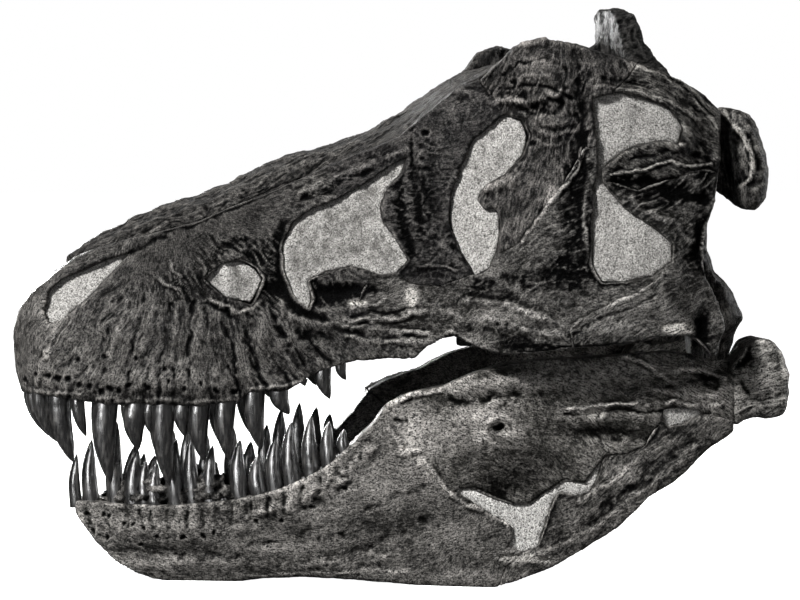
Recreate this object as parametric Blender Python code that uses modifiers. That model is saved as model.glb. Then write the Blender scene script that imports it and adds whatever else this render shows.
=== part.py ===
# Skull of Tyrannosaurus rex with its lower jaws and the plaster that fills its openings.
# Sizes are in millimetres: s runs back from the snout tip, y to the animal's right, z up
# from the floor. The snout points towards -X and the left cheek faces -Y.
import bpy
import bmesh
import math
from mathutils import Matrix, Vector
from mathutils.geometry import intersect_point_tri_2d

mm = 0.001
middle = 721          # s of the middle of the whole skull, which lies at x = 0
rearEnd = 1442        # s of the back of the lower jaws, the furthest point
crestTop = 1100       # height of the crest at the back, the highest point
seam = 0.4            # open width of the suture between two bones
pitch = 65            # pitch of the creases along which a flat plate is bent
pitchUp = 95          # and of the creases that run along it
roofPitch = 45        # pitch of the creases along the roof, which curves more
sharp = True          # marks a corner of an outline
slab = 0.05           # half depth of a plate while it is still flat, in metres
solidSnout = 100      # ahead of this station the two sides meet on the midline
plasterRecess = 10    # how far the plaster lies below the bone of the cranium
jawRecess = 5         # and of the lower jaw

# Cranium: half-widths at the tooth line, half way up and at the roof edge.
cheekStations = [(0, 25, 17, 9), (30, 72, 60, 25), (70, 103, 90, 42), (130, 122, 108, 50),
                 (250, 143, 128, 58), (400, 160, 142, 60), (520, 176, 152, 64),
                 (620, 200, 168, 82), (700, 225, 188, 128), (780, 262, 220, 176),
                 (870, 318, 268, 222), (980, 375, 325, 285), (1100, 408, 365, 305),
                 (1230, 420, 378, 312), (1330, 400, 350, 300), (1430, 385, 340, 290)]
cheekLow = [(0, 352), (170, 338), (450, 338), (560, 385), (640, 425), (980, 445), (1430, 465)]
cheekHigh = [(0, 560), (80, 648), (160, 690), (300, 752), (420, 795), (580, 880), (740, 940),
             (960, 1040), (1100, 1010), (1220, 960), (1330, 900), (1430, 860)]
toothEdge = 46        # thickness of the cheek wall along the teeth
roofEdge = 22         # and at the roof

# Lower jaw: half-width along its length, and how far its lower edge turns inwards.
jawStations = [(90, 10), (120, 38), (160, 62), (220, 82), (300, 104), (400, 128), (500, 150),
               (600, 174), (700, 202), (800, 232), (900, 264), (1000, 294), (1100, 320),
               (1200, 340), (1300, 350), (1450, 345)]
jawTop = [(118, 154), (409, 157), (600, 229), (700, 347), (900, 420), (1450, 440)]
jawWall = 38
jawTurn = 20

# Roof: height of the midline and of the wall's top edge beside it.
roofLine = [(63, 585), (119, 634), (189, 678), (268, 715), (352, 740), (447, 772), (523, 817),
            (595, 833), (681, 860), (750, 900), (809, 936), (864, 976), (940, 990), (1060, 1002)]
wallTop = [(63, 585), (119, 620), (180, 643), (228, 659), (355, 690), (451, 728), (546, 772),
           (641, 812), (732, 850), (787, 899), (832, 941), (912, 985), (1060, 990)]
roofThickness = 26
roofGap = 3.5         # between the roof and the walls beside it


def ramp(place, stations, column=1):
    if place <= stations[0][0]:
        return stations[0][column]
    for here, there in zip(stations, stations[1:]):
        if place <= there[0]:
            share = (place - here[0]) / (there[0] - here[0])
            return here[column] + share * (there[column] - here[column])
    return stations[-1][column]


def hill(s, z, centre, reach, height):
    away = ((s - centre[0]) / reach[0]) ** 2 + ((z - centre[1]) / reach[1]) ** 2
    return height * math.exp(-away)


def cheekShare(s, z):
    low = ramp(s, cheekLow)
    share = (z - low) / (ramp(s, cheekHigh) - low)
    return min(max(share, -0.2), 1.05)


def cheekFace(s, z):
    t = cheekShare(s, z)
    low, mid, high = (ramp(s, cheekStations, column) for column in (1, 2, 3))
    return low + t * (4 * mid - 3 * low - high) + t * t * (2 * low - 4 * mid + 2 * high)


def cheekInner(s, z):
    if s <= solidSnout:
        return seam / 2
    wall = toothEdge + (roofEdge - toothEdge) * min(max(cheekShare(s, z), 0), 1)
    return max(cheekFace(s, z) - wall, seam / 2)


# Swellings of the cheek bones: centre, reach along and up, and height above the face.
cheekHills = {
    "boss over the eye": ((978, 985), (62, 48), 26),
    "lacrimal horn": ((800, 905), (70, 30), 12),
    "cheek ridge of the jugal": ((950, 505), (110, 28), 14),
    "roots of the teeth": ((200, 400), (260, 40), 6),
    "sunken prong in the rear opening": ((1165, 765), (95, 50), -15),
}
jawShelf = ((1050, 405), (190, 22), 12)   # ridge along the top of the surangular


def cheekOuter(s, z):
    return cheekFace(s, z) + sum(hill(s, z, *place) for place in cheekHills.values())


def jawFace(s, z):
    share = min(max(z / ramp(s, jawTop), 0), 1)
    return ramp(s, jawStations) - jawTurn * (1 - share) ** 2 * min(1, s / 400)


def jawOuter(s, z):
    return jawFace(s, z) + hill(s, z, *jawShelf)


# The wall thickens towards the chin, where the two jaws meet.
def jawInner(s, z):
    chinEnd = 210
    chin = max(0, chinEnd - s) * 0.8
    return max(jawFace(s, z) - jawWall - chin, seam / 2)


def worldPoint(s, y, z):
    return Vector(((s - middle) * mm, y * mm, z * mm))


# Meshes

def evaluated(item):
    bpy.context.view_layer.update()
    graph = bpy.context.evaluated_depsgraph_get()
    return bpy.data.meshes.new_from_object(item.evaluated_get(graph))


def discard(item):
    data = item.data
    bpy.data.objects.remove(item)
    if isinstance(data, bpy.types.Mesh):
        bpy.data.meshes.remove(data)
    else:
        bpy.data.curves.remove(data)


def linked(name, data):
    item = bpy.data.objects.new(name, data)
    bpy.context.scene.collection.objects.link(item)
    return item


def welded(mesh, distance=1e-6):
    shape = bmesh.new()
    shape.from_mesh(mesh)
    bmesh.ops.remove_doubles(shape, verts=shape.verts, dist=distance)
    shape.to_mesh(mesh)
    shape.free()
    return mesh


def simplified(mesh):
    shape = bmesh.new()
    shape.from_mesh(mesh)
    return toMesh(shape, mesh.name, math.radians(0.5))


# A flat plate from closed outlines; the second and later ones are openings in it.
# A point marked "sharp" is a corner, and the others are rounded.
def flatPlate(outlines, shrink=0):
    curve = bpy.data.curves.new("outline", "CURVE")
    curve.dimensions = "2D"
    curve.fill_mode = "BOTH"
    curve.extrude = slab
    curve.resolution_u = 1
    curve.offset = -shrink * mm
    for outline in outlines:
        spline = curve.splines.new("BEZIER")
        spline.bezier_points.add(len(outline) - 1)
        spline.use_cyclic_u = True
        for knot, (a, b, *corner) in zip(spline.bezier_points, outline):
            knot.co = (a * mm, b * mm, 0)
            knot.handle_left_type = knot.handle_right_type = "VECTOR" if corner else "AUTO"
    item = linked("outline", curve)
    mesh = welded(evaluated(item))
    discard(item)
    return mesh


# A standing sheet along a line, as thick as a suture, that parts a flat plate.
def sutureBlade(line):
    curve = bpy.data.curves.new("suture", "CURVE")
    curve.dimensions = "3D"
    curve.extrude = 2 * slab
    spline = curve.splines.new("POLY")
    spline.points.add(len(line) - 1)
    for knot, (a, b) in zip(spline.points, line):
        knot.co = (a * mm, b * mm, 0, 1)
    item = linked("suture", curve)
    sheet = welded(evaluated(item))
    discard(item)
    blade = linked("suture", sheet)
    solid = blade.modifiers.new("thickness", "SOLIDIFY")
    solid.thickness = seam * mm
    solid.offset = 0
    return blade


def combined(mesh, others, operation):
    item = linked("body", mesh)
    for other in others:
        step = item.modifiers.new("join", "BOOLEAN")
        step.operation = operation
        step.solver = "EXACT"
        step.object = other
    result = evaluated(item)
    discard(item)
    for other in others:
        discard(other)
    return result


# Parts a flat plate along the sutures, and returns the piece that holds each named point.
def partedPlate(mesh, sutures, seeds):
    for line in sutures:
        mesh = combined(mesh, [sutureBlade(line)], "DIFFERENCE")
    shape = bmesh.new()
    shape.from_mesh(mesh)
    bpy.data.meshes.remove(mesh)
    bmesh.ops.remove_doubles(shape, verts=shape.verts, dist=2e-6)
    bmesh.ops.dissolve_limit(shape, angle_limit=0.002, verts=shape.verts, edges=shape.edges)
    pieces = {}
    waiting = set(shape.faces)
    while waiting:
        island = set()
        edge = [waiting.pop()]
        while edge:
            face = edge.pop()
            island.add(face)
            for side in face.edges:
                for other in side.link_faces:
                    if other in waiting:
                        waiting.discard(other)
                        edge.append(other)
        piece = islandMesh(island)
        for name, (a, b) in seeds.items():
            if holdsPoint(piece, a * mm, b * mm):
                pieces[name] = piece
    shape.free()
    return pieces


def islandMesh(faces):
    shape = bmesh.new()
    places = {}
    for face in faces:
        for vert in face.verts:
            if vert not in places:
                places[vert] = shape.verts.new(vert.co)
    for face in faces:
        shape.faces.new([places[vert] for vert in face.verts])
    return shape


def holdsPoint(shape, a, b):
    for loops in shape.calc_loop_triangles():
        corners = [loop.vert.co for loop in loops]
        if min(corner.z for corner in corners) > 0:
            if intersect_point_tri_2d((a, b), *(corner.xy for corner in corners)):
                return True
    return False


# A flat plate without the points that the curve leaves along its straight stretches.
def plateShape(outline, shrink=0):
    shape = bmesh.new()
    shape.from_mesh(flatPlate([outline], shrink))
    bmesh.ops.dissolve_limit(shape, angle_limit=0.002, verts=shape.verts, edges=shape.edges)
    return shape


# Creases a flat plate every few centimetres, so that it can follow a curved surface.
def creased(shape, upwards=pitchUp, extra=()):
    snoutTurn = 30
    along = [snoutTurn, *range(solidSnout, rearEnd, pitch), *extra]
    across = range(-crestTop // upwards * upwards, crestTop, upwards) if upwards else []
    cuts = [(0, level) for level in along] + [(1, level) for level in across]
    for axis, level in cuts:
        normal = Vector((1 - axis, axis, 0))
        bmesh.ops.bisect_plane(shape, geom=shape.verts[:] + shape.edges[:] + shape.faces[:],
                               plane_co=normal * level * mm, plane_no=normal, dist=2e-6)
    bmesh.ops.triangulate(shape, faces=shape.faces)


# A closed mesh, facing out, without the creases that bend by less than a degree or two.
def toMesh(shape, name, keepBend=math.radians(2)):
    bmesh.ops.remove_doubles(shape, verts=shape.verts, dist=2e-6)
    bmesh.ops.dissolve_limit(shape, angle_limit=keepBend, verts=shape.verts, edges=shape.edges)
    bmesh.ops.triangulate(shape, faces=shape.faces)
    bmesh.ops.recalc_face_normals(shape, faces=shape.faces)
    if shape.calc_volume(signed=True) < 0:
        bmesh.ops.reverse_faces(shape, faces=shape.faces)
    mesh = bpy.data.meshes.new(name)
    shape.to_mesh(mesh)
    shape.free()
    return mesh


# Stands a creased side plate up: its two faces go to the outer and inner surfaces.
def sideBent(shape, outer, inner):
    for vert in shape.verts:
        s = vert.co.x / mm
        z = max(vert.co.y / mm, 0)
        y = outer(s, z) if vert.co.z > 0 else inner(s, z)
        vert.co = worldPoint(s, -y, z)


# Lays a creased plan plate down between its upper and lower surfaces.
def planBent(shape, upper, lower):
    for vert in shape.verts:
        s = vert.co.x / mm
        y = vert.co.y / mm
        z = upper(s, y) if vert.co.z > 0 else lower(s, y)
        vert.co = worldPoint(s, y, z)


def loft(sections, name="loft"):
    shape = bmesh.new()
    rings = [[shape.verts.new(point) for point in section] for section in sections]
    count = len(rings[0])
    for here, there in zip(rings, rings[1:]):
        for corner in range(count):
            turn = (corner + 1) % count
            shape.faces.new((here[corner], here[turn], there[turn], there[corner]))
    shape.faces.new(rings[0][::-1])
    shape.faces.new(rings[-1])
    bmesh.ops.triangulate(shape, faces=shape.faces)
    return toMesh(shape, name)


def oval(centre, first, second, corners=8):
    points = []
    for corner in range(corners):
        angle = 2 * math.pi * (corner + 0.5) / corners
        points.append(centre + first * math.cos(angle) + second * math.sin(angle))
    return points


def mirrored(mesh):
    shape = bmesh.new()
    shape.from_mesh(mesh)
    for vert in shape.verts:
        vert.co.y = -vert.co.y
    return toMesh(shape, mesh.name)


# Finished nodes

skullCollection = bpy.data.collections.new("tyrannosaurus_skull")
finishes = {
    "dark_bone": ("35322f", 0.55),
    "grey_bone": ("4a4744", 0.5),
    "black_bone": ("262422", 0.5),
    "plaster": ("c4c1bb", 0.9),
}


def linear(code):
    values = [int(code[place:place + 2], 16) / 255 for place in (0, 2, 4)]
    return [value / 12.92 if value <= 0.04045 else ((value + 0.055) / 1.055) ** 2.4
            for value in values] + [1]


def finish(kind, name):
    colour, roughness = finishes[kind]
    material = bpy.data.materials.new(f"{kind}_{name}")
    material.use_nodes = True
    shader = material.node_tree.nodes["Principled BSDF"]
    shader.inputs["Base Color"].default_value = linear(colour)
    shader.inputs["Roughness"].default_value = roughness
    shader.inputs["Metallic"].default_value = 0
    material.diffuse_color = linear(colour)
    return material


jawPieces = ("dentary", "surangular", "angular", "articular", "splenial", "prearticular",
             "plaster_jaw")
groups = {}


# Empties that hold the cranium and the lower jaws together
def makeGroups():
    for name in ("cranium", "lower_jaws"):
        groups[name] = bpy.data.objects.new(name, None)
        skullCollection.objects.link(groups[name])


# Each piece has its origin in the middle of its own box.
def node(name, mesh, kind):
    mesh.name = name
    mesh.materials.clear()
    mesh.materials.append(finish(kind, name))
    mesh.shade_smooth()
    mesh.set_sharp_from_angle(angle=math.radians(35))
    corners = [[pick(vert.co[axis] for vert in mesh.vertices) for axis in range(3)]
               for pick in (min, max)]
    centre = (Vector(corners[0]) + Vector(corners[1])) / 2
    mesh.transform(Matrix.Translation(-centre))
    item = bpy.data.objects.new(name, mesh)
    item.location = centre
    item.parent = groups["lower_jaws" if name.startswith(jawPieces) else "cranium"]
    skullCollection.objects.link(item)


def pair(name, mesh, kind):
    other = mirrored(mesh)
    node(f"{name}_left", mesh, kind)
    node(f"{name}_right", other, kind)


# Teeth

# One tooth as a bevelled curve: it stands on the jaw edge, curves backwards and tapers.
def tooth(s, y, z, width, length, lean, way):
    rootDepth = 14
    curve = bpy.data.curves.new("tooth", "CURVE")
    curve.dimensions = "3D"
    curve.bevel_depth = width / 2 * mm
    curve.bevel_resolution = 1
    curve.use_fill_caps = True
    spline = curve.splines.new("POLY")
    stages = [(-rootDepth / length, 1), (0.55, 0.8), (1, 0.12)]
    spline.points.add(len(stages) - 1)
    for knot, (share, radius) in zip(spline.points, stages):
        knot.co = (lean * max(share, 0) ** 1.8 * mm, 0, way * share * length * mm, 1)
        knot.radius = radius
    item = linked("tooth", curve)
    mesh = welded(evaluated(item))
    discard(item)
    mesh.transform(Matrix.Diagonal((1, 0.66, 1, 1)))
    mesh.transform(Matrix.Translation(worldPoint(s, y, z)))
    return mesh


def withTeeth(mesh, teeth):
    cutter = bmesh.new()
    for crown in teeth:
        cutter.from_mesh(crown)
        bpy.data.meshes.remove(crown)
    bmesh.ops.recalc_face_normals(cutter, faces=cutter.faces)
    crowns = bpy.data.meshes.new("teeth")
    cutter.to_mesh(crowns)
    cutter.free()
    return simplified(combined(mesh, [linked("teeth", crowns)], "UNION"))


# Side wall of the cranium

cheekOutline = [(16, 359), (4, 400), (0, 440), (2, 480), (13, 520), (32, 550), (66, 578),
                (119, 620), (180, 643), (228, 659), (355, 690), (451, 728), (546, 772),
                (641, 812), (732, 850), (787, 899), (832, 941), (880, 962), (912, 990),
                (937, 1022), (983, 1035), (1045, 1024), (1112, 1005), (1178, 985),
                (1245, 959), (1295, 929), (1322, 900), (1318, 830), (1305, 735), (1284, 690),
                (1274, 643), (1280, 590), (1302, 545), (1312, 500), (1294, 446), (1262, 478),
                (1235, 490), (1155, 476), (1041, 465), (972, 455), (914, 448), (860, 465),
                (817, 485), (780, 465), (750, 437), (711, 438), (635, 430), (579, 409),
                (540, 386), (515, 371), (445, 369), (425, 350), (352, 343), (257, 344),
                (170, 345), (112, 354), (61, 361)]
naris = [(227, 633), (187, 588), (143, 544), (90, 497), (66, 492), (53, 520), (66, 560),
         (90, 580), (134, 602), (180, 623)]
maxillaryFenestra = [(359, 582), (395, 611), (430, 620), (460, 603), (476, 583), (464, 556),
                     (450, 533), (420, 543), (388, 556)]
antorbitalFenestra = [(748, 818), (711, 797), (663, 763), (616, 736), (567, 717), (530, 690),
                      (510, 650), (511, 600), (530, 543), (558, 522), (566, 545), (556, 580),
                      (594, 596), (640, 606), (690, 588), (724, 592), (746, 620), (723, 660),
                      (700, 691), (697, 725), (710, 754), (735, 780)]
orbit = [(920, 898), (949, 886), (961, 855), (953, 820), (922, 780), (887, 760), (870, 733),
         (884, 719), (904, 722), (911, 690), (905, 640), (889, 604), (860, 588), (850, 610),
         (832, 648), (817, 695), (821, 745), (837, 797), (862, 848)]
rearFenestra = [(1074, 927), (1126, 937), (1180, 925), (1222, 908), (1250, 868), (1240, 838),
                (1205, 842), (1165, 836), (1125, 818), (1096, 790), (1096, 766), (1134, 721),
                (1180, 690), (1220, 656), (1218, 620), (1182, 594), (1130, 582), (1085, 583),
                (1068, 615), (1068, 680), (1075, 750), (1082, 800), (1079, 860)]

cheekSutures = [
    [(92, 510), (82, 494), (70, 456), (65, 417), (65, 340)],
    [(190, 615), (196, 635), (204, 670)],
    [(640, 760), (616, 736), (609, 761), (598, 820)],
    [(690, 606), (676, 589), (653, 544), (675, 503), (735, 474), (748, 420)],
    [(716, 606), (730, 590), (754, 574), (799, 571), (852, 592), (870, 600)],
    [(870, 1000), (880, 950), (900, 925), (928, 880)],
    [(1100, 840), (1062, 828), (1014, 754), (945, 655), (890, 627)],
    [(1206, 640), (1202, 601), (1150, 563), (1104, 546), (1068, 530), (1024, 496), (1034, 450)],
    [(1070, 775), (1110, 766), (1159, 751), (1206, 769), (1256, 787), (1290, 791), (1340, 780)],
    [(1095, 900), (1113, 934), (1144, 962), (1188, 1020)],
]
cheekBones = {
    "premaxilla": (30, 420), "maxilla": (300, 480), "lacrimal": (770, 700), "jugal": (950, 540),
    "postorbital": (990, 900), "squamosal": (1270, 900), "quadratojugal": (1240, 560),
}
boneFinish = {"premaxilla": "dark_bone", "maxilla": "dark_bone", "lacrimal": "dark_bone",
              "jugal": "black_bone", "postorbital": "black_bone", "squamosal": "dark_bone",
              "quadratojugal": "black_bone"}

# Upper teeth: middle s, width along the jaw, length and backward curve. The front ones, which
# stand round the snout, also have their distance from the midline, after s.
frontTeeth = [(28, 14, 22, 84, 28), (33, 34, 24, 90, 32), (41, 54, 26, 94, 34),
              (50, 73, 28, 97, 35)]
upperTeeth = [(91, 43, 130, 26), (174, 48, 154, 12), (232, 46, 88, 6), (284, 45, 158, 14),
              (352, 42, 106, 10), (400, 41, 110, 10), (455, 40, 113, 14), (501, 36, 50, 18),
              (546, 16, 22, 6), (584, 30, 58, 12), (617, 22, 30, 10)]


def buildCheeks():
    openings = [naris, maxillaryFenestra, antorbitalFenestra, orbit, rearFenestra]
    bones = partedPlate(flatPlate([cheekOutline] + openings), cheekSutures, cheekBones)
    for name, shape in bones.items():
        creased(shape)
        sideBent(shape, cheekOuter, cheekInner)
        mesh = toMesh(shape, name)
        if name == "premaxilla":
            row = [tooth(s, -y, 362, width, length, lean, -1)
                   for s, y, width, length, lean in frontTeeth]
            mesh = withTeeth(mesh, row)
        if name == "maxilla":
            row = []
            for s, width, length, lean in upperTeeth:
                edge = lowerEdge(s)
                row.append(tooth(s, -(cheekFace(s, edge) - toothEdge / 2), edge, width, length, lean, -1))
            mesh = withTeeth(mesh, row)
        pair(name, mesh, boneFinish[name])


# Height of the tooth-bearing edge of the upper jaw.
def lowerEdge(s):
    return ramp(s, [(61, 361), (170, 345), (352, 343), (425, 350), (445, 369), (515, 371),
                    (579, 409), (635, 430)])


# Plaster fills each opening a little below the bone, also where the bone is sunken, and takes
# up at least half of a thin wall.
def plasterOuter(s, z):
    face = min(cheekFace(s, z), cheekOuter(s, z))
    if s <= solidSnout:
        return face - plasterRecess
    return face - min(plasterRecess, (face - cheekInner(s, z)) / 2)


def buildCheekPlaster():
    thinnest = 12
    fills = {"plaster_naris": naris, "plaster_maxillary": maxillaryFenestra,
             "plaster_antorbital": antorbitalFenestra, "plaster_orbit": orbit,
             "plaster_temporal": rearFenestra}
    for name, outline in fills.items():
        shape = plateShape(outline, shrink=seam)
        creased(shape)
        sideBent(shape, lambda s, z: max(plasterOuter(s, z), thinnest), cheekInner)
        pair(name, toMesh(shape, name), "plaster")


# Roof of the cranium

def roofHalf(s):
    return cheekInner(s, ramp(s, wallTop)) - roofGap


def roofUpper(s, y):
    half = max(roofHalf(s), 20)
    share = min(abs(y) / half, 1) ** 2.2
    return ramp(s, roofLine) * (1 - share) + ramp(s, wallTop) * share


def roofLower(s, y):
    return roofUpper(s, y) - roofThickness


def buildRoof():
    roofEnd = 1040
    stations = [*range(solidSnout + pitch, roofEnd, pitch), roofEnd]
    edge = [(s, roofHalf(s)) for s in stations]
    outline = [(104, 0)] + edge + [(s, -y) for s, y in reversed(edge)]
    flat = flatPlate([outline])
    sutures = [
        [(560, 110), (640, 66), (740, 58), (820, 40), (870, -9)],
        [(560, -110), (640, -66), (740, -58), (820, -40), (870, 9)],
        [(850, 6), (838, 110), (880, 330)],
        [(850, -6), (838, -110), (880, -330)],
    ]
    seeds = {"nasals": (400, 0), "prefrontal_right": (780, 100),
             "prefrontal_left": (780, -100), "frontals": (950, 0)}
    for name, shape in partedPlate(flat, sutures, seeds).items():
        creased(shape, upwards=roofPitch)
        planBent(shape, roofUpper, roofLower)
        node(name, toMesh(shape, name), "dark_bone")


# Parietals: a narrow crest between the temporal openings and a tall wall across the back.
def buildParietals():
    base = 900
    crest = []
    for s, top, width in [(1042, 1000, 120), (1075, 1008, 66), (1120, 1026, 46),
                          (1160, 1050, 44), (1178, 1050, 50)]:
        crest.append([worldPoint(s, y, z) for y, z in
                      [(-width - 20, base), (width + 20, base), (width * 0.8, top - 60),
                       (width * 0.35, top), (-width * 0.35, top), (-width * 0.8, top - 60)]])
    wallHalf = [(0, 1100), (62, 1098), (98, 1088), (118, 1062), (140, 1034), (165, 1004),
                (220, 975), (256, 944), (264, 920), (256, base)]
    outline = wallHalf + [(-y, z) for y, z in reversed(wallHalf[1:])]
    shape = bmesh.new()
    shape.from_mesh(flatPlate([outline]))
    creased(shape)
    depth = 17
    for vert in shape.verts:
        y = vert.co.x / mm
        z = vert.co.y / mm
        sweep = 0.08 * abs(y) + 0.24 * max(abs(y) - 100, 0)
        thick = depth + 0.1 * (1100 - z)
        vert.co = worldPoint(1166 + sweep + (thick if vert.co.z > 0 else -thick), y, z)
    wall = toMesh(shape, "nuchal_wall")
    whole = combined(wall, [linked("crest", loft(crest))], "UNION")
    node("parietals", simplified(whole), "dark_bone")


# Braincase with the occipital condyle, the wings beside it and the processes below.
def buildBraincase():
    top = 899.6
    sections = []
    for s, half, low, high in [(1000, 50, 700, top), (1080, 78, 640, top),
                               (1180, 96, 600, top), (1262, 92, 640, top),
                               (1292, 62, 720, 880)]:
        sections.append([worldPoint(s, y, z) for y, z in
                         [(-half * 0.6, low), (half * 0.6, low), (half, low + 80),
                          (half, high - 30), (half * 0.7, high), (-half * 0.7, high),
                          (-half, high - 30), (-half, low + 80)]])
    pieces = [linked("condyle", ball((1316, 0, 786), (42, 44, 38)))]
    for side in (-1, 1):
        wing = []
        for s, y, low, high, thick in [(1236, 60, 800, 885, 46), (1290, 160, 790, 890, 34),
                                       (1342, 240, 745, 905, 30), (1366, 276, 722, 897, 28),
                                       (1384, 288, 716, 872, 26), (1398, 293, 726, 836, 24),
                                       (1408, 296, 744, 796, 18)]:
            half = thick / 2
            wing.append([worldPoint(s - half * 0.7, side * (y + half), low),
                         worldPoint(s + half, side * (y - half * 0.6), low),
                         worldPoint(s + half, side * (y - half * 0.6), high),
                         worldPoint(s - half * 0.7, side * (y + half), high)])
        pieces.append(linked("wing", loft(wing)))
        leg = [oval(worldPoint(s, side * y, z), Vector((reach * mm, 0, 0)),
                    Vector((0, reach * 0.8 * mm, 0)), 6)
               for s, y, z, reach in [(1215, 34, 680, 34), (1205, 44, 590, 30),
                                      (1188, 62, 520, 26)]]
        pieces.append(linked("leg", loft(leg)))
    body = combined(loft(sections), pieces, "UNION")
    magnum = linked("foramen_magnum", ball((1300, 0, 852), (60, 20, 22)))
    node("braincase", simplified(combined(body, [magnum], "DIFFERENCE")), "dark_bone")


def ball(centre, reach):
    shape = bmesh.new()
    bmesh.ops.create_uvsphere(shape, u_segments=8, v_segments=5, radius=1)
    for vert in shape.verts:
        offset = [axis * size for axis, size in zip(vert.co, reach)]
        vert.co = worldPoint(*(a + b for a, b in zip(centre, offset)))
    return toMesh(shape, "ball")


# Quadrate: the pillar behind the cheek, from the jaw joint up to the squamosal.
jointHeight = 430


def buildQuadrates():
    rings = []
    for z, back, depth, width, corner in [(jointHeight, 1335, 62, 86, 12),
                                          (470, 1352, 80, 96, 14), (518, 1364, 92, 92, 16),
                                          (556, 1345, 76, 74, 14), (600, 1306, 58, 62, 12),
                                          (643, 1292, 52, 58, 12), (704, 1298, 50, 56, 12),
                                          (800, 1308, 46, 54, 12), (880, 1300, 44, 50, 10)]:
        outer = min(cheekInner(min(back, 1330), z), cheekInner(back - depth, z)) - 4
        if z < 500:
            outer = jawInner(back, z) - 6
        front = back - depth
        rings.append([worldPoint(s, -y, z) for s, y in
                      [(front, outer - corner), (front + corner, outer),
                       (back - corner, outer), (back, outer - corner),
                       (back, outer - width + corner), (back - corner, outer - width),
                       (front + corner, outer - width), (front, outer - width + corner)]])
    pair("quadrate", loft(rings), "black_bone")


# Rock and plaster that still fill the inside of the snout and the eye sockets.
def buildCore():
    clear = 4
    sections = []
    first = solidSnout + pitch + 2
    last = 893
    for s in [first, *range(solidSnout + 2 * pitch, last, pitch), last]:
        low = 455 + max(0, s - 560) * 0.12
        high = ramp(s, wallTop) - roofThickness - 14
        levels = [low + (high - low) * step / 4 for step in range(5)]
        right = [(max(cheekInner(s, z) - clear, 4), z) for z in levels]
        right[-1] = (right[-1][0] - 6, right[-1][1])
        ring = right + [(-y, z) for y, z in reversed(right)]
        sections.append([worldPoint(s, y, z) for y, z in ring])
    node("snout_core", loft(sections), "plaster")


# Palate, seen from below between the tooth rows.
def palateHeight(s):
    return ramp(s, [(120, 405), (300, 425), (560, 436), (800, 466), (960, 486), (1250, 560)])


def planPiece(outline, thickness, lift=0):
    shape = plateShape(outline)
    creased(shape, upwards=0)
    planBent(shape, lambda s, y: palateHeight(s) + lift + thickness,
             lambda s, y: palateHeight(s) + lift)
    return toMesh(shape, "palate")


def buildPalate():
    inward = 14
    vomer = [(160, 0), (185, 16), (235, 22), (290, 12), (440, 9), (556, 12), (556, -12),
             (440, -9), (290, -12), (235, -22), (185, -16)]
    node("vomer", planPiece(vomer, 16, -4), "dark_bone")
    sideEdge = [(s, -(cheekInner(s, palateHeight(s)) - inward)) for s in (420, 520, 620, 700)]
    palatine = [(392, -40)] + sideEdge + [(745, -150), (700, -96), (600, -58), (500, -34)]
    pair("palatine", planPiece(palatine, 14), "dark_bone")
    pterygoid = [(564, -8, sharp), (566, -30, sharp), (660, -52), (740, -90), (800, -120), (860, -170),
                 (925, -182), (985, -150), (1040, -110), (1120, -130), (1190, -190),
                 (1222, -236), (1216, -180), (1150, -88), (1060, -48), (960, -40), (800, -26),
                 (680, -12)]
    pair("pterygoid", planPiece(pterygoid, 12), "dark_bone")
    hook = [(850, -188), (835, -215), (862, -240), (925, -262), (960, -256), (945, -215),
            (960, -190), (925, -196)]
    pair("ectopterygoid", planPiece(hook, 22, -14), "dark_bone")


# Lower jaw

jawOutline = [(118, 152), (117, 130), (132, 108), (156, 76), (191, 43), (234, 17), (265, 5),
              (300, 0, sharp), (400, 0, sharp), (456, 7), (552, 13), (648, 10), (728, 5), (800, 0, sharp),
              (902, 0, sharp), (946, 16), (1010, 42), (1074, 85), (1132, 126), (1182, 177),
              (1246, 221), (1294, 270), (1340, 303, sharp), (1340, 404, sharp), (1318, 414), (1299, 431),
              (1258, 444), (1212, 450), (1102, 441), (1033, 437), (986, 434), (922, 424),
              (873, 410), (814, 383), (741, 363), (705, 345), (672, 300), (648, 276),
              (601, 231), (553, 203), (506, 182), (457, 167), (409, 157), (313, 147),
              (216, 147), (166, 150)]
jawGap = [(824, 186), (857, 165), (893, 140), (930, 120), (936, 96), (924, 78), (958, 66),
          (984, 74), (995, 112), (1004, 144), (1021, 182), (1057, 175), (1079, 183),
          (1091, 208), (1103, 254), (1086, 232), (1066, 204), (1030, 208), (998, 186),
          (968, 162), (938, 160), (900, 172), (862, 190)]
jawWindow = [(1208, 346), (1205, 324), (1218, 307), (1250, 314), (1288, 335), (1276, 347),
             (1240, 350)]
jawSutures = [
    [(690, 352), (705, 342), (746, 307), (744, 279), (731, 260), (755, 256), (783, 213),
     (814, 182), (840, 178)],
    [(970, 90), (950, 60), (925, 40), (905, -20)],
    [(1092, 240), (1106, 257), (1139, 258), (1176, 273), (1194, 301), (1215, 330)],
    [(1270, 340), (1300, 332), (1360, 318)],
]
jawBones = {"dentary": (400, 90), "surangular": (950, 330), "angular": (1120, 180)}
jawFinish = {"dentary": "grey_bone", "surangular": "grey_bone", "angular": "dark_bone"}

# Lower teeth: middle s, width, length and backward curve.
lowerTeeth = [(135, 22, 84, 4), (163, 30, 113, 4), (196, 34, 110, 6), (240, 34, 104, 6),
              (309, 36, 126, 0), (350, 32, 129, -4), (388, 24, 60, 0), (428, 32, 111, 0),
              (472, 32, 71, 0), (505, 30, 106, 0), (538, 31, 96, 2), (573, 30, 96, 0),
              (603, 25, 65, 0), (628, 20, 40, 0)]


def alveolarEdge(s):
    return ramp(s, [(118, 150), (166, 150), (216, 147), (313, 147), (409, 157), (457, 167),
                    (506, 182), (553, 203), (601, 231), (648, 276)])


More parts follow.
